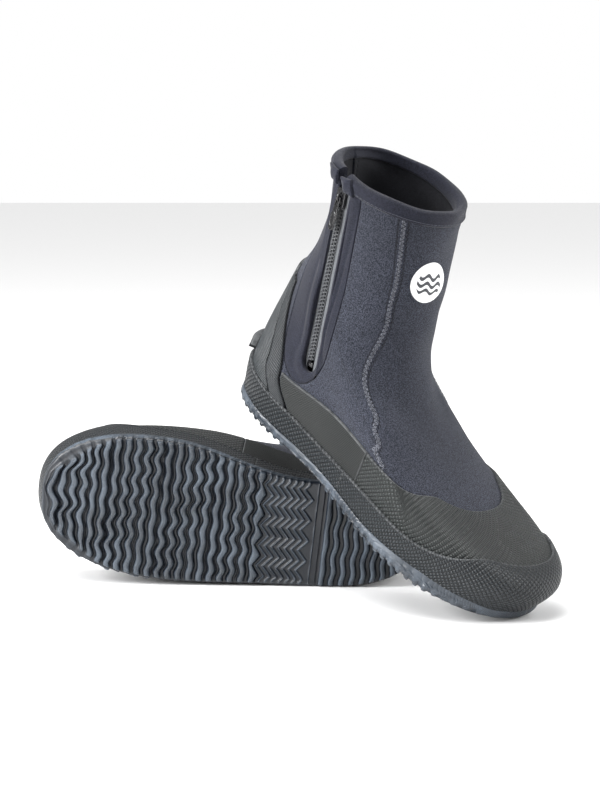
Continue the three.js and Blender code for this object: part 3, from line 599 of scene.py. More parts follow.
def twill(name, colour):
    """Zip tape: steep diagonal yarns, with painted shade between them and painted light on their tops."""
    f = Finish(name, 0.8, Sheen_Weight=0.3)
    u, v = f.uv()
    yarn = f.wave(f.math("ADD", u, f.math("MULTIPLY", v, 0.8)), 0.62)
    # Painted shade between the yarns and painted light on their tops, by the yarn ridge height.
    f.paint(f.mix(yarn, tuple(0.35 * c for c in colour), tuple(1.5 * c for c in colour)))
    return f.relief((yarn, 2e-4), (f.noise(2000, 2), 8e-5))


def plain(name, dark, light, scale, rough=0.8):
    """A mottled matt surface, for fibre board, foam and thread."""
    f = Finish(name, rough)
    mottle = f.noise(scale, 4, 0.7)
    f.paint(f.mix(f.between(mottle, 0.4, 0.6), dark, light))
    return f.relief((mottle, 1e-4))


def mark_print():
    """White transfer print with three dark wavy lines and a slightly uneven rim."""
    f = Finish("mark_print", 0.45)
    u, v = f.uv()
    lines = None
    for middle in (-5.2, 0.0, 5.2):
        wavy = f.math("ADD", f.math("MULTIPLY", f.math("SINE", f.math("MULTIPLY", u, 0.62)), 1.5), middle)
        near = f.between(f.math("ABSOLUTE", f.math("SUBTRACT", v, wavy)), 1.5, 1.2)
        lines = near if lines is None else f.math("MAXIMUM", lines, near)
    from_middle = f.math("SQRT", f.math("ADD", f.math("MULTIPLY", u, u), f.math("MULTIPLY", v, v)))
    inside = f.between(from_middle, 11.2, 10.9)
    white = f.mix(f.between(f.noise(500, 3), 0.4, 0.8), (0.86, 0.86, 0.86), (0.7, 0.7, 0.71))
    f.paint(f.mix(f.math("MULTIPLY", lines, inside), white, (0.02, 0.022, 0.03)))
    return f.relief((f.noise(1800, 2), 5e-5))


body_knit = knit("heather_knit", (0.004, 0.005, 0.009), (0.048, 0.053, 0.074), fleck=1500)
navy_knit = knit("smooth_navy_knit", (0.003, 0.0035, 0.008), (0.018, 0.020, 0.034), fleck=1800, sheen=0.12,
                 fine=6e-5)
lining = knit("black_lining", (0.003, 0.003, 0.005), (0.014, 0.015, 0.020), sheen=0.06)
cap_rubber = moulded("toe_cap_rubber", (0.022, 0.025, 0.025), "cap", pitch=3.9, rough=0.24, deep=1.1e-3)
foxing_rubber = moulded("foxing_rubber", (0.012, 0.015, 0.018), "diamond", pitch=3.9, rough=0.24, deep=1.2e-3)
rand_rubber = moulded("rand_rubber", (0.014, 0.016, 0.016), "fine", rough=0.4, deep=6e-4)
counter_rubber = moulded("counter_rubber", (0.034, 0.039, 0.043), "ribs", rough=0.26, deep=1.1e-3)
stay_rubber = moulded("stay_rubber", (0.018, 0.021, 0.024), "ribs", rough=0.4, edge=(0.012, 0.013, 0.015),
                      edge_share=1.0)
nub_rubber = moulded("strap_stop_rubber", (0.006, 0.007, 0.009), "plain")
sole = tread_rubber()
black_plastic = plastic("black_zip_plastic", (0.004, 0.004, 0.005), 0.2)
teeth_plastic = plastic("zip_teeth_plastic", (0.030, 0.032, 0.036), 0.36)
grey_twill = twill("grey_twill_tape", (0.062, 0.068, 0.078))
fibre_board = plain("fibre_board", (0.30, 0.27, 0.22), (0.52, 0.49, 0.42), 900)
bed_foam = plain("footbed_cloth", (0.012, 0.013, 0.018), (0.045, 0.048, 0.058), 1500)
pale_thread = plain("pale_thread", (0.02, 0.022, 0.03), (0.20, 0.21, 0.25), 1300, rough=0.6)
dark_thread = plain("dark_thread", (0.012, 0.013, 0.022), (0.05, 0.055, 0.075), 1300, rough=0.6)


# ---- Neoprene -----------------------------------------------------------------------------------------
def seam_places(height, angle):
    """Length from the nearer of the seams at a panel's two sides, and length up the seam, in mm."""
    flat = skin(height, angle)
    across = run_of(flat, 1)
    return {"seam_gap": np.minimum(across, across[:, -1:] - across), "seam_run": run_of(flat, 0)}


def half_gap(height):
    """Half the clearance between two panels, as an angle at the side of the foot."""
    return 0.5 * GAP / np.linalg.norm(skin(height, 90) - skin(height, 91), axis=-1)


def front_panel():
    """The panel over the foot and up the front of the shaft, from seam to seam."""
    height, angle = between(SHELL_BOTTOM, SHELL_TOP, lambda h: half_gap(h) - front_seam(h),
                            lambda h: front_seam(h) - half_gap(h), 110, 120)
    return panel(height, angle, 1.0, **seam_places(height, angle))


def outer_quarter():
    """The panel on the outer side, from the back seam to the front seam."""
    height, angle = between(SHELL_BOTTOM, SHELL_TOP, lambda h: 180 + half_gap(h),
                            lambda h: 360 - front_seam(h) - half_gap(h), 110, 90)
    return panel(height, angle, 1.0, **seam_places(height, angle))


def mouth_depth(f):
    """Distance down the chain at which the shell's top edge lies, for each distance rearward."""
    ahead = np.linspace(-26, 38, 17)
    deep = np.linspace(-16, 22, 60)
    height = on_skin(*np.meshgrid(ahead, deep, indexing="ij"))[0]
    at_top = [np.interp(-SHELL_TOP, -row, deep) for row in height]
    return np.interp(f, ahead, at_top)


def horseshoe(rear, front, bottom, depth, share):
    """A U round the chain at shares from its rear top to its front top: straight down, round a half ellipse
    of the given depth, and straight up."""
    turn = np.clip((share - 0.4) / 0.2, 0, 1) * np.pi
    f = (rear + front) / 2 + (rear - front) / 2 * np.cos(turn)
    top = mouth_depth(np.array([rear, front], float))
    low = bottom - depth
    down_rear = top[0] + (low - top[0]) * np.clip(share / 0.4, 0, 1)
    down_front = top[1] + (low - top[1]) * np.clip((1 - share) / 0.4, 0, 1)
    d = np.where(share < 0.5, down_rear, down_front)
    return f, np.where((share > 0.4) & (share < 0.6), low + depth * np.sin(turn), d)


# Places along a U, close together at its two tops and round its lower end.
around = np.concatenate([[0, 0.001, 0.003], np.linspace(0, 0.4, 71)[1:-1], np.linspace(0.4, 0.6, 51)[:-1],
                         np.linspace(0.6, 1, 71)[:-1], [0.997, 0.999, 1]])
surround_edge = horseshoe(SURROUND_REAR, -SURROUND_FRONT, CHAIN + SURROUND_BELOW, SURROUND_ROUND, around)


def zip_surround():
    """The smooth panel round the zip: lines from a narrow U at the slot to a wide U at its seam, rolled up
    beside the slot, and kept clear of the tapes below."""
    slot = horseshoe(SLOT_REAR, SLOT_FRONT, CHAIN + SLOT_BELOW, SLOT_ROUND, around)
    share = steps(26, 0.05)
    f, d = (a[:, None] + (b - a)[:, None] * share for a, b in zip(slot, surround_edge))
    height, angle = on_skin(f, d)
    height = np.minimum(height, SHELL_TOP)
    flat = skin(height, angle)
    from_slot = run_of(flat, 1)
    away = edge_away(flat)
    lift = 0.5 * bell(from_slot, 4.2, 3.2) - rounded(away, 1.3) - 0.35 * bell(from_slot, 10, 2.5)
    outer = layer(height, angle, lift)
    inner = layer(height, angle, -NEOPRENE + 0.2 * rounded(away, 1.1))
    for points, least in ((outer, TAPE_TOP + 1.9), (inner, TAPE_TOP + 0.35)):
        f, d, p = zip_share(points)
        near = (f > -TAPE_HALF - 1) & (f < TAPE_HALF + 1) & (d < CHAIN + 8.5)
        points += proud * np.where(near, np.maximum(least - p, 0), 0)[..., None]
    return sheet(outer, inner, away=away)


def inner_quarter():
    """The panel round the zip's surround: lines from the wide U to its front, bottom and back edges."""
    height0, angle0 = on_skin(*horseshoe(SURROUND_REAR + GAP, -SURROUND_FRONT - GAP,
                                         CHAIN + SURROUND_BELOW + GAP, SURROUND_ROUND + GAP, around))
    height0 = np.minimum(height0, SHELL_TOP)
    height1 = along([[0, SHELL_TOP], [0.4, SHELL_BOTTOM]], np.minimum(around, 1 - around))
    ahead, back = front_seam(height1) + half_gap(height1), 180 - half_gap(height1)
    angle1 = back + (ahead - back) * ease(around, 0.4, 0.6)
    share = steps(34, 0.03)
    height = height0[:, None] + (height1 - height0)[:, None] * share
    angle = angle0[:, None] + (angle1 - angle0)[:, None] * share
    from_seam = run_of(skin(height, angle), 1)
    from_seam = from_seam[:, -1:] - from_seam
    beside = np.where((around > 0.63)[:, None], from_seam, 40)
    climb = run_of(skin(height, angle), 0)
    return panel(height, angle, 0.9, seam_gap=beside, seam_run=climb)


def seam_thread(side_sign, phase):
    """A thread zigzagging over the front seam: to one side and the other by a sine of the length run, and
    lifted where it crosses."""
    height = np.linspace(0.2, 0.935, 500)
    height = height[height > rubber_top(front_seam(height)) + 0.004]
    spine = layer(height, side_sign * front_seam(height), 0)
    run = run_of(spine[None], 1)[0]
    even = np.arange(0, run[-1], 0.42)
    height = np.interp(even, run, height)
    angle = side_sign * front_seam(height)
    spine = layer(height, angle, 0)
    face = outward(height, angle)
    across = unit(np.cross(np.gradient(spine, axis=0), face))
    turn = 2 * np.pi * even / STITCH + phase
    swing, keep = 1.5 * np.sin(turn), 0.22 + 0.16 * np.cos(turn) ** 2
    return tube(spine + across * swing[:, None] + face * keep[:, None], 0.21, 5)


# ---- Rubber -------------------------------------------------------------------------------------------
def angle_at(x, side_sign):
    """For each height, the angle at which the skin passes a distance from the heel, on one side."""
    def find(height):
        angle = np.linspace(50, 165, 116)
        table = np.linspace(0, 0.55, 45)
        runs = skin(table[:, None], side_sign * angle)[..., 0]
        at = np.array([np.interp(-x, -row, angle) for row in runs])
        return side_sign * np.interp(height, table, at)
    return find


def rubber_sheet(height, angle, inside=RUBBER_IN, outside=RUBBER_OUT, edge=0.9, rise=None, **values):
    """Rubber on the skin, its foot resting on the outsole."""
    flat = skin(height, angle)
    away = edge_away(flat)
    bottom = run_of(flat, 0)
    away = np.where(bottom < 2, np.maximum(away, 2.0), away)
    drop = rounded(away, edge)
    outer = layer(height, angle, outside - drop + (0 if rise is None else rise(height, angle, away)))
    inner = layer(height, angle, inside)
    for points in (outer, inner):
        points[..., 2] = np.maximum(points[..., 2], spring(points[..., 0]) + 0.02)
    return sheet(outer, inner, away=away, **values)


def toe_cap():
    """The cap over the toe, from split to split, with a value that tells its top from its sides."""
    first, last = angle_at(RUBBER_SPLIT + GAP / 2, -1), angle_at(RUBBER_SPLIT + GAP / 2, 1)
    low, high = float(first(SPLIT_HEIGHT)), float(last(SPLIT_HEIGHT))
    height, angle = between(SHELL_BOTTOM, lambda u: rubber_top(low + (high - low) * u), first, last, 46, 220)
    flat = skin(height, angle)
    return rubber_sheet(height, angle, on_top=ease(flat[..., 2] - spring(flat[..., 0]), 42, 56))


def rand(side_sign):
    """The rubber on one side of the foot, from the toe cap to the heel stay."""
    first = angle_at(RUBBER_SPLIT - GAP / 2, side_sign)
    last = lambda h: side_sign * (counter_edge(h) - 1.2)
    start, end = abs(float(first(SPLIT_HEIGHT))), 136.0
    top = lambda u: rubber_top(start + (end - start) * u)
    height, angle = between(SHELL_BOTTOM, top, first, last, 34, 50)
    return rubber_sheet(height, angle)


def heel_stay(side_sign):
    """A raised strip up one side of the heel."""
    height, angle = between(SHELL_BOTTOM, COUNTER_TOP, lambda h: side_sign * counter_edge(h),
                            lambda h: side_sign * (counter_edge(h) + STAY_WIDTH), 80, 14, 0.03)
    return rubber_sheet(height, angle, rise=lambda h, a, away: 0.5 * ease(away, 0.8, 2.6))


def heel_counter():
    """The cup round the back of the heel, its top edge arched by a sine."""
    edge = lambda h: counter_edge(h) + STAY_WIDTH + 0.8
    height, angle = between(SHELL_BOTTOM, lambda u: COUNTER_TOP + 0.03 * np.sin(np.pi * u), edge,
                            lambda h: 360 - edge(h), 80, 70)
    return rubber_sheet(height, angle)


def foxing(front):
    """The strip round the sole's edge, round the toe or round the heel, with a bead inside its edges."""
    inner, outer = angle_at(FOXING_SPLIT, 1), angle_at(FOXING_SPLIT, -1)
    a, b = float(inner(FOXING_SPLIT_HEIGHT)), float(outer(FOXING_SPLIT_HEIGHT))
    if front:
        first, last, low, high, columns = outer, inner, b, a, 240
    else:
        first, last, low, high, columns = inner, lambda h: 360 + outer(h), a, 360 + b, 130
    top = lambda u: foxing_top(180 - np.abs(180 - np.mod(low + (high - low) * u, 360)))
    height, angle = between(SHELL_BOTTOM, top, first, last, 22, columns, 0.004)
    bead = lambda h, angle, away: 0.35 * bell(away, 1.6, 0.7)
    return rubber_sheet(height, angle, FOXING_IN, FOXING_OUT, rise=bead)


def strap_stop():
    """The nub at the back of the heel that holds a fin's strap."""
    low = float(foxing_top(180)) + 0.012
    height, angle = between(low, low + 0.045, 167, 193, 14, 30, 0.08)
    return rubber_sheet(height, angle, RUBBER_OUT + GAP, RUBBER_OUT + 5.5, edge=2.2)


# ---- Sole ---------------------------------------------------------------------------------------------
def outline_at(x, offset):
    """Half widths to the inner and the outer side of the sole line moved out by an offset, at places x."""
    turn = np.linspace(0, 180, 721)
    inner = layer(SHELL_BOTTOM, turn, offset)
    outer = layer(SHELL_BOTTOM, -turn, offset)
    return tuple(np.interp(-x, -edge[:, 0], np.abs(edge[:, 1])) for edge in (inner, outer))


def sole_stations(offset, pitch):
    """Places along the sole at an even pitch, closer together at its round ends."""
    ends = layer(SHELL_BOTTOM, np.array([180.0, 0.0]), offset)[:, 0]
    close = np.array([0.02, 0.12, 0.35, 0.7, 1.2, 1.9, 2.8])
    even = np.arange(ends[0] + 3.6, ends[1] - 3.4, pitch)
    return np.concatenate([ends[0] + close, even, ends[1] - close[::-1]])


def ribs(x):
    """Depth of the tread along the foot: flat-topped ribs ahead of the arch, with a thin raised line in each
    groove, flat-topped ribs under the heel, and low ridges on the flat waist between them."""
    def rib(phase, width, pitch, line):
        top = ease(phase, 0, 1.3) * (1 - ease(phase, width - 1.9, width))
        crown = 1 - 0.3 * ((phase - width / 2) / (width / 2)) ** 2
        thin = line * bell(phase, (width + pitch) / 2, 0.3)
        return TREAD_DEPTH * top * np.clip(crown, 0, 1) + thin
    fore = rib(np.mod(x - ARCH_TO, FORE_PITCH), FORE_RIB, FORE_PITCH, 0.4)
    heel = rib(np.mod(x - HEEL_BACK - 6, HEEL_PITCH), HEEL_RIB, HEEL_PITCH, 0.0)
    zigzag = 1.1 * bell(np.mod(x - ZIGZAG_FROM, ZIGZAG_PITCH), ZIGZAG_PITCH / 2, 0.95)
    zigzag = zigzag * ease(x, ZIGZAG_FROM - 0.5, ZIGZAG_FROM) * (1 - ease(x, ZIGZAG_TO - 0.5, ZIGZAG_TO))
    arch = 0.75 + zigzag + 0.8 * bell(x, ARCH_FROM + 4.6, 0.4)
    heel_share = 1 - ease(x, ARCH_FROM - 0.6, ARCH_FROM)
    fore_share = ease(x, ARCH_TO - 0.2, ARCH_TO + 0.2)
    return heel * heel_share + fore * fore_share + arch * (1 - heel_share) * (1 - fore_share)


def sway(x, y):
    """How far a rib is moved along the foot at each place across it: smooth waves ahead of the arch, a sharp
    zigzag on the waist, a slight wave under the heel, and an arc round the toe."""
    def zigzag(v):
        return 4 * np.abs(np.mod(v / 15.5, 1) - 0.5) - 1
    fore = 1.1 * np.sin(2 * np.pi * y / 17 + 0.3 * np.sin(x / 9)) + 0.45 * np.sin(y / 2.4 + x / 7)
    heel = 0.9 * np.sin(2 * np.pi * y / 21 + 0.8)
    fore_share = ease(x, ARCH_TO - 3, ARCH_TO + 6)
    arch_share = ease(x, ZIGZAG_FROM - 5, ZIGZAG_FROM + 1) * (1 - fore_share)
    heel_share = 1 - ease(x, ARCH_FROM - 12, ARCH_FROM)
    arc = -9 * ease(x, 236, 284) * (y / 40) ** 2 + 2.2 * ease(x, 240, 275) * np.sin(y / 5.5 + x / 11)
    return fore * fore_share + 3.4 * zigzag(y) * arch_share + heel * heel_share + arc


def outsole():
    """Sections across the foot, carried from heel to toe: down one side wall, across the tread and up the
    other wall, closed over the top. The tread's grid lines follow its ribs."""
    x = sole_stations(FOXING_OUT, 0.5)
    inner, outer = outline_at(x, FOXING_OUT)
    share = np.concatenate([[0, 0.006, 0.016, 0.03], np.linspace(0.045, 0.955, 88), [0.97, 0.984, 0.994, 1]])
    y = inner[:, None] - (inner + outer)[:, None] * share
    ends = np.minimum(x - x[0], x[-1] - x)[:, None]
    away = np.minimum(np.minimum(inner[:, None] - y, y + outer[:, None]), ends)
    along_foot = x[:, None]
    depth = np.broadcast_to(ribs(along_foot), y.shape)
    toe_rim = ease(along_foot, 225, 262)
    keep = ease(away, 0.2 + 4.2 * toe_rim, 1.6 + 5.5 * toe_rim)
    low = 0.55 + 0.35 * depth / TREAD_DEPTH
    depth = low + (depth - low) * keep + 0.5 * toe_rim * bell(away, 4.2, 0.6)
    depth = depth * ease(away, -0.4, 1.2)
    wander = sway(along_foot, y) * ease(away, 0, 7)
    tread = np.stack([along_foot + wander, y, spring(along_foot + wander) + TREAD_TOP - depth], -1)
    wall_level = np.array([0.0, 0.12, 0.35, 0.6, 0.8, 0.93])
    swell = np.array([0.1, 0.45, 0.6, 0.3, 0.0, 0.0])
    lugs = 1.1 * (1 - ribs(along_foot) / TREAD_DEPTH) * ease(wall_level, 0.35, 0.9) * ease(ends, 2, 12)
    lip = (0.2 + LIP_HIGH * ease(along_foot, LIP_FROM, LIP_TO)) * ease(ends, 0, 1)
    rough = np.sin(along_foot / 2.3 + 2 * wall_level) * np.sin(along_foot / 5.9) * ease(wall_level, 0.1, 0.5)
    rough = rough * (0.35 + 0.6 * ease(along_foot, 150, 230))
    z = spring(along_foot) + SOLE_TOP + (TREAD_TOP - SOLE_TOP) * wall_level
    lip_z = spring(along_foot) + SOLE_TOP + lip * np.array([0.0, 0.9, 1.0])
    sides = []
    for edge, way in ((inner, 1), (-outer, -1)):
        yy = edge[:, None] + way * (swell * ease(ends, 0, 6) - lugs + rough + 0.9 * ease(lip, 0.2, 3))
        lip_y = edge[:, None] + way * np.array([0.1, 0.15, 0.75]) * ease(lip, 0, 0.3)
        wall = along_foot, np.hstack([lip_y, yy]), np.hstack([lip_z, z])
        sides.append(np.stack(np.broadcast_arrays(*wall), -1))
    loops = np.concatenate([sides[0], tread, sides[1][:, ::-1]], 1)
    # The depth value also sets the outsole's colour: where it is low, in the grooves, the finish paints
    # shade.
    lip_depth = np.tile([1.6, 1.6, 1.8], (len(x), 1))
    wall_depth = np.hstack([lip_depth, 1.8 + 0.9 * wall_level * (ribs(along_foot) / TREAD_DEPTH)])
    depths = np.concatenate([wall_depth, depth + 0.35 * (away < 2), wall_depth[:, ::-1]], 1)
    uv = np.stack([loops[..., 1], loops[..., 0]], -1)
    return closed_run(loops, uv, depth=depths)


def closed_run(loops, uv, **values):
    """Closed loops carried along a run, each end drawn to its middle."""
    size = loops.shape[1]
    first, last = (np.tile(loops[end].mean(0), (1, size, 1)) for end in (0, -1))
    loops = np.concatenate([first, loops, last])
    stretch = lambda grid: np.concatenate([grid[:1], grid, grid[-1:]])
    faces = quads(len(loops), size, round_columns=True)
    return form(loops, faces, stretch(uv), **{k: stretch(v) for k, v in values.items()})


def sole_plate(low, high, inset, crown=0.0):
    """A plate on the sole line between two levels, its upper face dished by a cube of the place across."""
    x = sole_stations(-inset, 4)
    inner, outer = outline_at(x, -inset)
    share = np.linspace(0, 1, 15)
    y = inner[:, None] - (inner + outer)[:, None] * share
    dish = crown * (np.abs(share - 0.5) * 2) ** 3
    upper, lower = (np.stack(np.broadcast_arrays(x[:, None], y, spring(x)[:, None] + level), -1)
                    for level in (high + dish, low))
    loops = np.concatenate([upper, lower[:, ::-1]], 1)
    return closed_run(loops, loops[..., :2])


# ---- Zip ----------------------------------------------------------------------------------------------
zip_axes = np.array([rearward, down, proud])


def zip_block(f, d, p, half, sharp=0.28, rows=8, columns=16):
    """A rounded box lying along the chain, its middle given in the zip's plane."""
    return block(in_zip(f, d, p), half, zip_axes, sharp, rows, columns)


def tape(side_sign):
    """Flat tape with a faint wave, from the top of the chain to past its end."""
    d = np.linspace(0.3, CHAIN + 6, 90)[:, None]
    share = steps(14, 0.08)
    f = side_sign * (TEETH_HALF + GAP + (TAPE_HALF - TEETH_HALF - GAP) * share)
    wave = 0.08 * np.sin(d / 9.0 + f)
    outer = in_zip(f, d, TAPE_TOP - 0.1 + wave - 0.1 * np.abs(share - 0.5))
    inner = in_zip(f, d, TAPE_TOP - TAPE_THICK + 0.05 + wave)
    return sheet(outer, inner)


def teeth(side_sign):
    """One row of moulded teeth, each a rounded bar with a wider head, half a pitch from the other row."""
    first = SLIDER_START + TOOTH_CLEAR + (0 if side_sign > 0 else TOOTH_PITCH / 2)
    places = np.arange(first, CHAIN - TOOTH_CLEAR / 2, TOOTH_PITCH)
    bar, head = (1.7, 0.62, TEETH_THICK / 2 - 0.05), (0.95, 0.86, TEETH_THICK / 2 - 0.25)
    forms = []
    for d in places:
        forms.append(zip_block(side_sign * 1.75, d, TEETH_MIDDLE, bar, 0.4, 6, 10))
        forms.append(zip_block(side_sign * 0.2, d, TEETH_MIDDLE, head, 0.5, 6, 8))
    forms.append(zip_block(side_sign * 2.9, (places[0] + places[-1]) / 2, TEETH_MIDDLE,
                           (0.55, (places[-1] - places[0]) / 2 + 1, 0.7), 0.5))
    return joined(forms)


def top_stop(side_sign):
    """The small block at the upper end of one row of teeth."""
    return zip_block(side_sign * 2.5, 1.0, TEETH_MIDDLE, (1.0, 0.6, TEETH_THICK / 2), 0.35)


def bottom_stop():
    """The block across both rows at the lower end of the chain, with a raised middle."""
    return joined([zip_block(0, CHAIN + 0.65, TEETH_MIDDLE, (TEETH_HALF, 1.85, TEETH_THICK / 2), 0.35),
                   zip_block(0, CHAIN + 0.65, TEETH_TOP, (1.2, 1.2, 0.25), 0.5)])


def slider():
    """Two shaped plates with turned flanges, the wedge between them and an arched bridge."""
    middle = SLIDER_START + SLIDER_LENGTH / 2
    half = SLIDER_LENGTH / 2
    plates = [zip_block(0, middle, (low + high) / 2, (SLIDER_HALF, half, (high - low) / 2), 0.3, 10, 28)
              for low, high in ((PLATE_LOW, PLATE_HIGH), (BACK_LOW, BACK_HIGH))]
    walls = []
    for way in (1, -1):
        at = way * (SLIDER_HALF - 0.7)
        for low, high in ((TAPE_TOP + GAP, PLATE_HIGH - 0.4), (BACK_LOW + 0.2, TAPE_TOP - TAPE_THICK - GAP)):
            walls.append(zip_block(at, middle, (low + high) / 2, (0.65, half - 0.8, (high - low) / 2), 0.35))
    wedge_half = (1.1, 1.5, (PLATE_HIGH - BACK_LOW) / 2 - 0.2)
    wedge = zip_block(0, SLIDER_START + 1.5, (BACK_LOW + PLATE_HIGH) / 2, wedge_half)
    turn = np.linspace(0, np.pi, 17)
    arch = in_zip(0, HINGE_DOWN - 2.7 * np.cos(turn), PLATE_HIGH - 0.2 + 2.4 * np.sin(turn) ** 0.7)
    ridge = zip_block(0, middle + 3.4, PLATE_HIGH, (1.6, 2.6, 0.35), 0.5)
    return joined([*plates, *walls, wedge, tube(arch, 0.75, 10), ridge])


def pull():
    """Two arms on the hinge pin, running into a waisted tab with a raised ring, all tilted about the pin."""
    arm_in, arm_out = 1.5, 2.6
    pin = tube(in_zip(np.linspace(-arm_out + 0.2, arm_out - 0.2, 5), HINGE_DOWN, HINGE_HIGH), 0.62, 10)
    arms = [zip_block(way * (arm_in + arm_out) / 2, HINGE_DOWN + 3.6, HINGE_HIGH, (0.62, 4.1, 0.65), 0.45)
            for way in (1, -1)]
    run = np.concatenate([[0.0, 0.03, 0.08], np.linspace(0.14, 0.9, 20), [0.95, 0.98, 1.0]])
    half = 2.4 + 1.1 * ease(run, 0.1, 0.45) - 0.35 * bell(run, 0.72, 0.12)
    half = half * np.sqrt(np.clip(1 - np.clip((run - 0.86) / 0.142, 0, 1) ** 2, 0.02, 1))
    turn = np.linspace(0, 2 * np.pi, 24, endpoint=False)
    soft = lambda v: np.sign(v) * np.abs(v) ** 0.45
    section = np.stack([soft(np.cos(turn)), soft(np.sin(turn))], -1)
    d = HINGE_DOWN + 6 + run * (PULL_LENGTH - 6)
    thick = 0.62 + 0.12 * bell(run, 0.5, 0.3)
    loops = in_zip(half[:, None] * section[:, 0], d[:, None], HINGE_HIGH + thick[:, None] * section[:, 1])
    tab = closed_run(loops, np.stack(np.broadcast_arrays(turn, d[:, None]), -1))
    rim = tube(in_zip(2.1 * np.cos(turn), HINGE_DOWN + 16 + 5 * np.sin(turn), HINGE_HIGH + 0.55), 0.35, 6)
    made = joined([pin, *arms, tab, rim])
    f, d, p = zip_share(made["points"])
    d, p = d - HINGE_DOWN, p - HINGE_HIGH
    c, s = math.cos(math.radians(PULL_TILT)), math.sin(math.radians(PULL_TILT))
    made["points"] = in_zip(f, HINGE_DOWN + d * c - p * s, HINGE_HIGH + d * s + p * c)
    return made


def baffle():
    """The flap behind the zip."""
    middle = lambda h: ZIP_BOTTOM[1] + (ZIP_TOP[1] - ZIP_BOTTOM[1]) * ease(h, ZIP_BOTTOM[0], 0.62)
    height, angle = between(ZIP_BOTTOM[0], BINDING_FROM, lambda h: middle(h) - BAFFLE_HALF,
                            lambda h: middle(h) + BAFFLE_HALF, 50, 26)
    outside = min(BACK_LOW, -NEOPRENE - GAP - BINDING_WALL) - 1.1
    outer, inner = layer(height, angle, outside), layer(height, angle, outside - BAFFLE_THICK)
    return sheet(outer, inner)


# ---- Collar -------------------------------------------------------------------------------------------
def binding():
    """Knitted tape folded over the shell's edge: up the outside, over the top by a half ellipse and down the
    inside, carried round the mouth with slight irregularities."""
    turn = np.linspace(MOUTH_FROM, MOUTH_TO, 300)[:, None]
    far, near = GAP + BINDING_WALL, -NEOPRENE - GAP - BINDING_WALL
    roll = np.linspace(0, np.pi, 17)
    middle, half = (far + near) / 2, (far - near) / 2
    up = np.linspace(0, 1, 9)
    level, tuck = BINDING_FROM + (SHELL_TOP - BINDING_FROM) * up, 0.9 * (1 - ease(up, 0, 0.12))
    outside = [(far - t, h, 0) for t, h in zip(tuck, level)]
    over = [(middle + half * math.cos(a), SHELL_TOP, 3.9 * math.sin(a)) for a in roll[1:-1]]
    inside = [(near + t, h, 0) for t, h in zip(tuck[::-1], level[::-1])]
    wrap_in = [(-NEOPRENE - GAP, BINDING_FROM, 0), (-NEOPRENE - GAP, SHELL_TOP, 0),
               (-NEOPRENE + 0.6, SHELL_TOP, 1.1),
               (-0.6, SHELL_TOP, 1.1), (GAP, SHELL_TOP, 0), (GAP, BINDING_FROM, 0)]
    offset, height, rise = np.array(outside + over + inside + wrap_in).T
    shown = np.arange(len(offset)) < len(offset) - len(wrap_in)
    puff = 0.35 * np.sin(np.radians(turn) * 5 + 1) + 0.25 * np.sin(np.radians(turn) * 11 + 2)
    offset = offset + np.where(shown & (offset > middle), puff * ease(height, BINDING_FROM, 0.96), 0)
    points = layer(height, turn, offset)
    points[..., 2] += rise * (1 + 0.10 * np.sin(np.radians(turn) * 7 + 0.5))
    uv = np.stack([run_of(points, 0), run_of(points, 1)], -1)
    return closed_run(points, uv)


def binding_stitch():
    """A sewn line just above the binding's lower edge, dipping into the knit at each stitch."""
    turn = np.linspace(MOUTH_FROM + 3, MOUTH_TO - 3, 1400)
    path = layer(BINDING_FROM + 0.012, turn, GAP + BINDING_WALL)
    run = run_of(path[None], 1)[0]
    sink = 0.1 - 0.45 * bell(np.mod(run / 3.2, 1), 0.5, 0.13)
    path = layer(BINDING_FROM + 0.012, turn, GAP + BINDING_WALL + sink)
    return tube(path, 0.22, 5)


def folded_tab(corners, bulge, thick):
    """A folded end of the binding: a soft quadrilateral between four places [angle, height, rise], lying on
    the collar, thicker in its middle."""
    v, u = np.meshgrid(steps(14, 0.06), steps(16, 0.06), indexing="ij")
    a, b, c, d = (np.array(corner, float) for corner in corners)
    place = (a * ((1 - u) * (1 - v))[..., None] + b * (u * (1 - v))[..., None] + c * (u * v)[..., None]
             + d * ((1 - u) * v)[..., None])
    crown = bulge * (np.sin(np.pi * u) * np.sin(np.pi * v)) ** 0.6 + 0.25 * np.sin(9 * u + 5 * v)
    low = 2 * GAP + BINDING_WALL
    height = np.minimum(place[..., 1], 1.0)
    flat = layer(height, place[..., 0], low)
    drop = rounded(edge_away(flat), 0.8)
    outer = layer(height, place[..., 0], low + thick + crown - drop)
    inner = layer(height, place[..., 0], low + 0.1 * drop)
    for points in (outer, inner):
        points[..., 2] += place[..., 2]
    return sheet(outer, inner)


def rear_tab():
    """The binding's end behind the zip."""
    return folded_tab([[114, 0.925, 0], [124, 0.93, 0], [131, 1.0, 1.6], [114.5, 1.0, 2.6]], 1.2, 1.7)


def front_tab():
    """The binding's end ahead of the zip."""
    return folded_tab([[92, 0.925, 0], [103.5, 0.92, 0], [107.5, 1.0, 0.5], [97, 1.0, 2.8]], 1.5, 1.7)


# ---- Printed disc -------------------------------------------------------------------------------------
def printed_disc():
    """A thin disc on the front of the shaft, on rings about its middle, with lengths across and up it."""
    turn = np.linspace(0, 2 * np.pi, 72, endpoint=False)
    radius = np.concatenate([np.linspace(0, 1, 16), [1.0], np.linspace(1, 0, 6)]) * MARK_RADIUS
    offset = np.concatenate([np.full(15, 0.42), [0.3], [0.0], np.zeros(6)])[:, None] + GAP * 0.4
    across, up = radius[:, None] * np.cos(turn), radius[:, None] * np.sin(turn)
    above, below = skin(MARK_HEIGHT + 0.01, MARK_ANGLE), skin(MARK_HEIGHT - 0.01, MARK_ANGLE)
    per_height = np.linalg.norm(above - below) / 0.02
    height = MARK_HEIGHT + up / per_height
    per_angle = np.linalg.norm(skin(height, MARK_ANGLE + 1) - skin(height, MARK_ANGLE), axis=-1)
    angle = MARK_ANGLE + across / per_angle
    points = layer(height, angle, offset)
    return form(points, quads(len(radius), len(turn), round_columns=True), np.stack([across, up], -1))


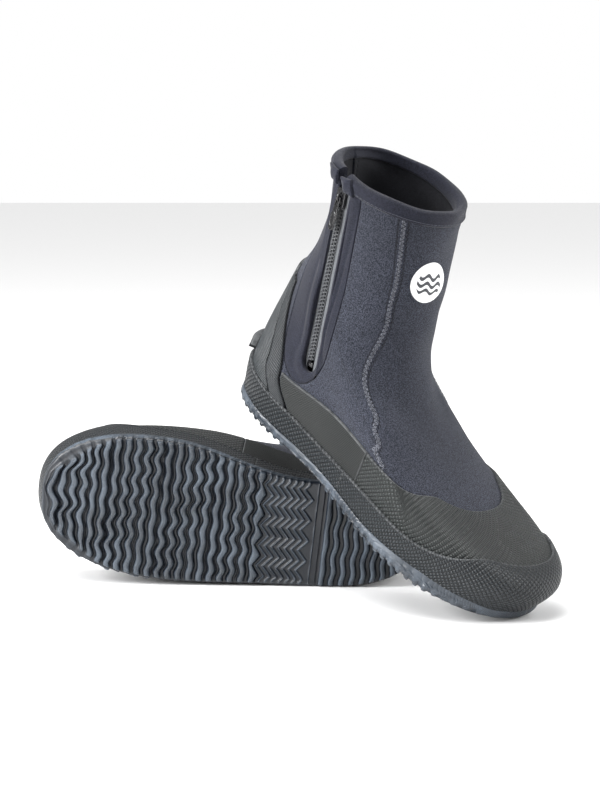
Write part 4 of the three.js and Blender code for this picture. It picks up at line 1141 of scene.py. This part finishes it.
# ---- Making both boots --------------------------------------------------------------------------------
inner_threads = joined([seam_thread(1, 0), seam_thread(1, 1.9)])
outer_threads = joined([seam_thread(-1, 0), seam_thread(-1, 1.9)])
insole_board = sole_plate(GAP, GAP + BOARD, NEOPRENE + 0.6)
footbed = sole_plate(2 * GAP + BOARD, 2 * GAP + BOARD + FOOTBED - 0.6, NEOPRENE + 0.9, 1.6)
# Name, form, finishes, body it rides on, material slot and the frame's nodes it stands for.
PIECES = [
    ("ribbed_outsole", outsole(), [sole], "boot", "sole_rubber", ["outsole"]),
    ("fibre_insole_board", insole_board, [fibre_board], "boot", "board", ["insole_board"]),
    ("cloth_footbed", footbed, [bed_foam], "boot", "foam", ["footbed"]),
    ("front_neoprene", front_panel(), [body_knit, lining], "boot", "knit", ["front_panel"]),
    ("inner_neoprene", inner_quarter(), [body_knit, lining], "boot", "knit", ["inner_quarter"]),
    ("outer_neoprene", outer_quarter(), [body_knit, lining], "boot", "knit", ["outer_quarter"]),
    ("smooth_zip_panel", zip_surround(), [navy_knit, lining], "boot", "smooth_knit", ["zip_surround"]),
    ("zip_flap", baffle(), [lining], "boot", "smooth_knit", ["zip_baffle"]),
    ("front_twill_tape", tape(-1), [grey_twill], "boot", "zip_tape", ["zip_tape_front"]),
    ("rear_twill_tape", tape(1), [grey_twill], "boot", "zip_tape", ["zip_tape_rear"]),
    ("front_teeth", teeth(-1), [teeth_plastic], "boot", "zip_plastic", ["zip_teeth_front"]),
    ("rear_teeth", teeth(1), [teeth_plastic], "boot", "zip_plastic", ["zip_teeth_rear"]),
    ("front_top_stop", top_stop(-1), [black_plastic], "boot", "zip_plastic", ["zip_top_stop_front"]),
    ("rear_top_stop", top_stop(1), [black_plastic], "boot", "zip_plastic", ["zip_top_stop_rear"]),
    ("zip_end_stop", bottom_stop(), [black_plastic], "boot", "zip_plastic", ["zip_bottom_stop"]),
    ("shaped_slider", slider(), [black_plastic], "slider", "zip_plastic", ["zip_slider"]),
    ("waisted_pull", pull(), [black_plastic], "pull", "zip_plastic", ["zip_pull"]),
    ("folded_binding", binding(), [navy_knit], "boot", "smooth_knit", ["collar_binding"]),
    ("front_binding_end", front_tab(), [navy_knit], "boot", "smooth_knit", ["binding_tab_front"]),
    ("rear_binding_end", rear_tab(), [navy_knit], "boot", "smooth_knit", ["binding_tab_rear"]),
    ("embossed_toe_cap", toe_cap(), [cap_rubber], "boot", "rubber", ["toe_cap"]),
    ("ribbed_inner_rand", rand(1), [rand_rubber], "boot", "rubber", ["inner_rand"]),
    ("ribbed_outer_rand", rand(-1), [rand_rubber], "boot", "rubber", ["outer_rand"]),
    ("ribbed_heel_counter", heel_counter(), [counter_rubber], "boot", "rubber", ["heel_counter"]),
    ("inner_stay_strip", heel_stay(1), [stay_rubber], "boot", "rubber", ["inner_heel_stay"]),
    ("outer_stay_strip", heel_stay(-1), [stay_rubber], "boot", "rubber", ["outer_heel_stay"]),
    ("embossed_front_foxing", foxing(True), [foxing_rubber], "boot", "rubber", ["foxing_front"]),
    ("embossed_heel_foxing", foxing(False), [foxing_rubber], "boot", "rubber", ["foxing_heel"]),
    ("moulded_strap_stop", strap_stop(), [nub_rubber], "boot", "sole_rubber", ["fin_strap_stop"]),
    ("wave_mark", printed_disc(), [mark_print()], "boot", "print", ["printed_mark"]),
    ("inner_seam_thread", inner_threads, [pale_thread], "boot", "knit", []),
    ("outer_seam_thread", outer_threads, [pale_thread], "boot", "knit", []),
    ("binding_stitching", binding_stitch(), [dark_thread], "boot", "smooth_knit", []),
]
for side in ("right", "left"):
    for name, made, finishes, body, slot, nodes in PIECES:
        add_piece(side, name, made, finishes, body, nodes)


# ---- Floor, light and camera, in metres ---------------------------------------------------------------
TARGET = (0.0063, 0.0229, 0.1)
ELEVATION, DISTANCE = math.radians(8.73), 1.7
LENS, SENSOR, SHIFT = 100.67, 36, 0.05
FLOOR_HALF, FLOOR_LEVEL = 6, -2e-4
AIM = (0, 0, 0.1)
SOFTBOXES = [  # name, place, width and height, watts
    ("left", (-1.7, -0.8, 0.9), (0.7, 1.3), 72),
    ("right", (1.7, 0.1, 0.9), (0.6, 1.3), 30),
    ("top", (-0.1, -0.3, 2.0), (1.2, 0.8), 22),
]
BACKGROUND_LIGHT = 0.5  # strength of the white world as a light; it is 1 where it is seen


def look_along(way):
    """The turn that points a lamp or the camera along a direction."""
    return Vector(way).to_track_quat("-Z", "Y").to_euler()


def floor():
    """A pale square just under the soles."""
    corners = [(FLOOR_HALF * x, FLOOR_HALF * y, FLOOR_LEVEL) for x, y in ((-1, -1), (1, -1), (1, 1), (-1, 1))]
    mesh = bpy.data.meshes.new("floor")
    mesh.from_pydata(corners, [], [(0, 1, 2, 3)])
    f = Finish("pale_floor", 0.7)
    f.shader.inputs["Base Color"].default_value = (0.86, 0.86, 0.86, 1)
    mesh.materials.append(f.material)
    put("floor", mesh)


def softbox(name, place, size, power):
    """A rectangular lamp that faces the boots."""
    lamp = put(name, bpy.data.lights.new(name, "AREA"))
    lamp.data.shape, lamp.data.energy = "RECTANGLE", power
    lamp.data.size, lamp.data.size_y = size
    lamp.location = place
    lamp.rotation_euler = look_along(np.array(AIM) - np.array(place))


def window():
    """A broad, soft sun from the front left."""
    sun = put("window", bpy.data.lights.new("window", "SUN"))
    sun.data.energy, sun.data.angle = 1.7, math.radians(35)
    sun.rotation_euler = look_along((0.35, 0.3, -1.0))


def studio():
    """A white world, half as strong as a light as it is where it is seen."""
    world = bpy.data.worlds.new("studio")
    world.use_nodes = True
    nodes, links = world.node_tree.nodes, world.node_tree.links
    background = nodes["Background"]
    background.inputs["Color"].default_value = (1, 1, 1, 1)
    seen = nodes.new("ShaderNodeLightPath").outputs["Is Camera Ray"]
    strength = nodes.new("ShaderNodeMapRange")
    strength.inputs["To Min"].default_value = BACKGROUND_LIGHT
    links.new(seen, strength.inputs["Value"])
    links.new(strength.outputs[0], background.inputs["Strength"])
    bpy.context.scene.world = world
    bpy.context.scene.view_settings.view_transform = "Standard"


def camera():
    """A long lens a little above the boots, looking along +Y and down."""
    made = put("camera", bpy.data.cameras.new("camera"))
    made.data.lens, made.data.sensor_width, made.data.shift_y = LENS, SENSOR, SHIFT
    made.data.clip_end = 50
    way = np.array([0, math.cos(ELEVATION), -math.sin(ELEVATION)])
    made.location = np.array(TARGET) - DISTANCE * way
    made.rotation_euler = look_along(way)
    bpy.context.scene.camera = made


floor()
for box in SOFTBOXES:
    softbox(*box)
window()
studio()
camera()
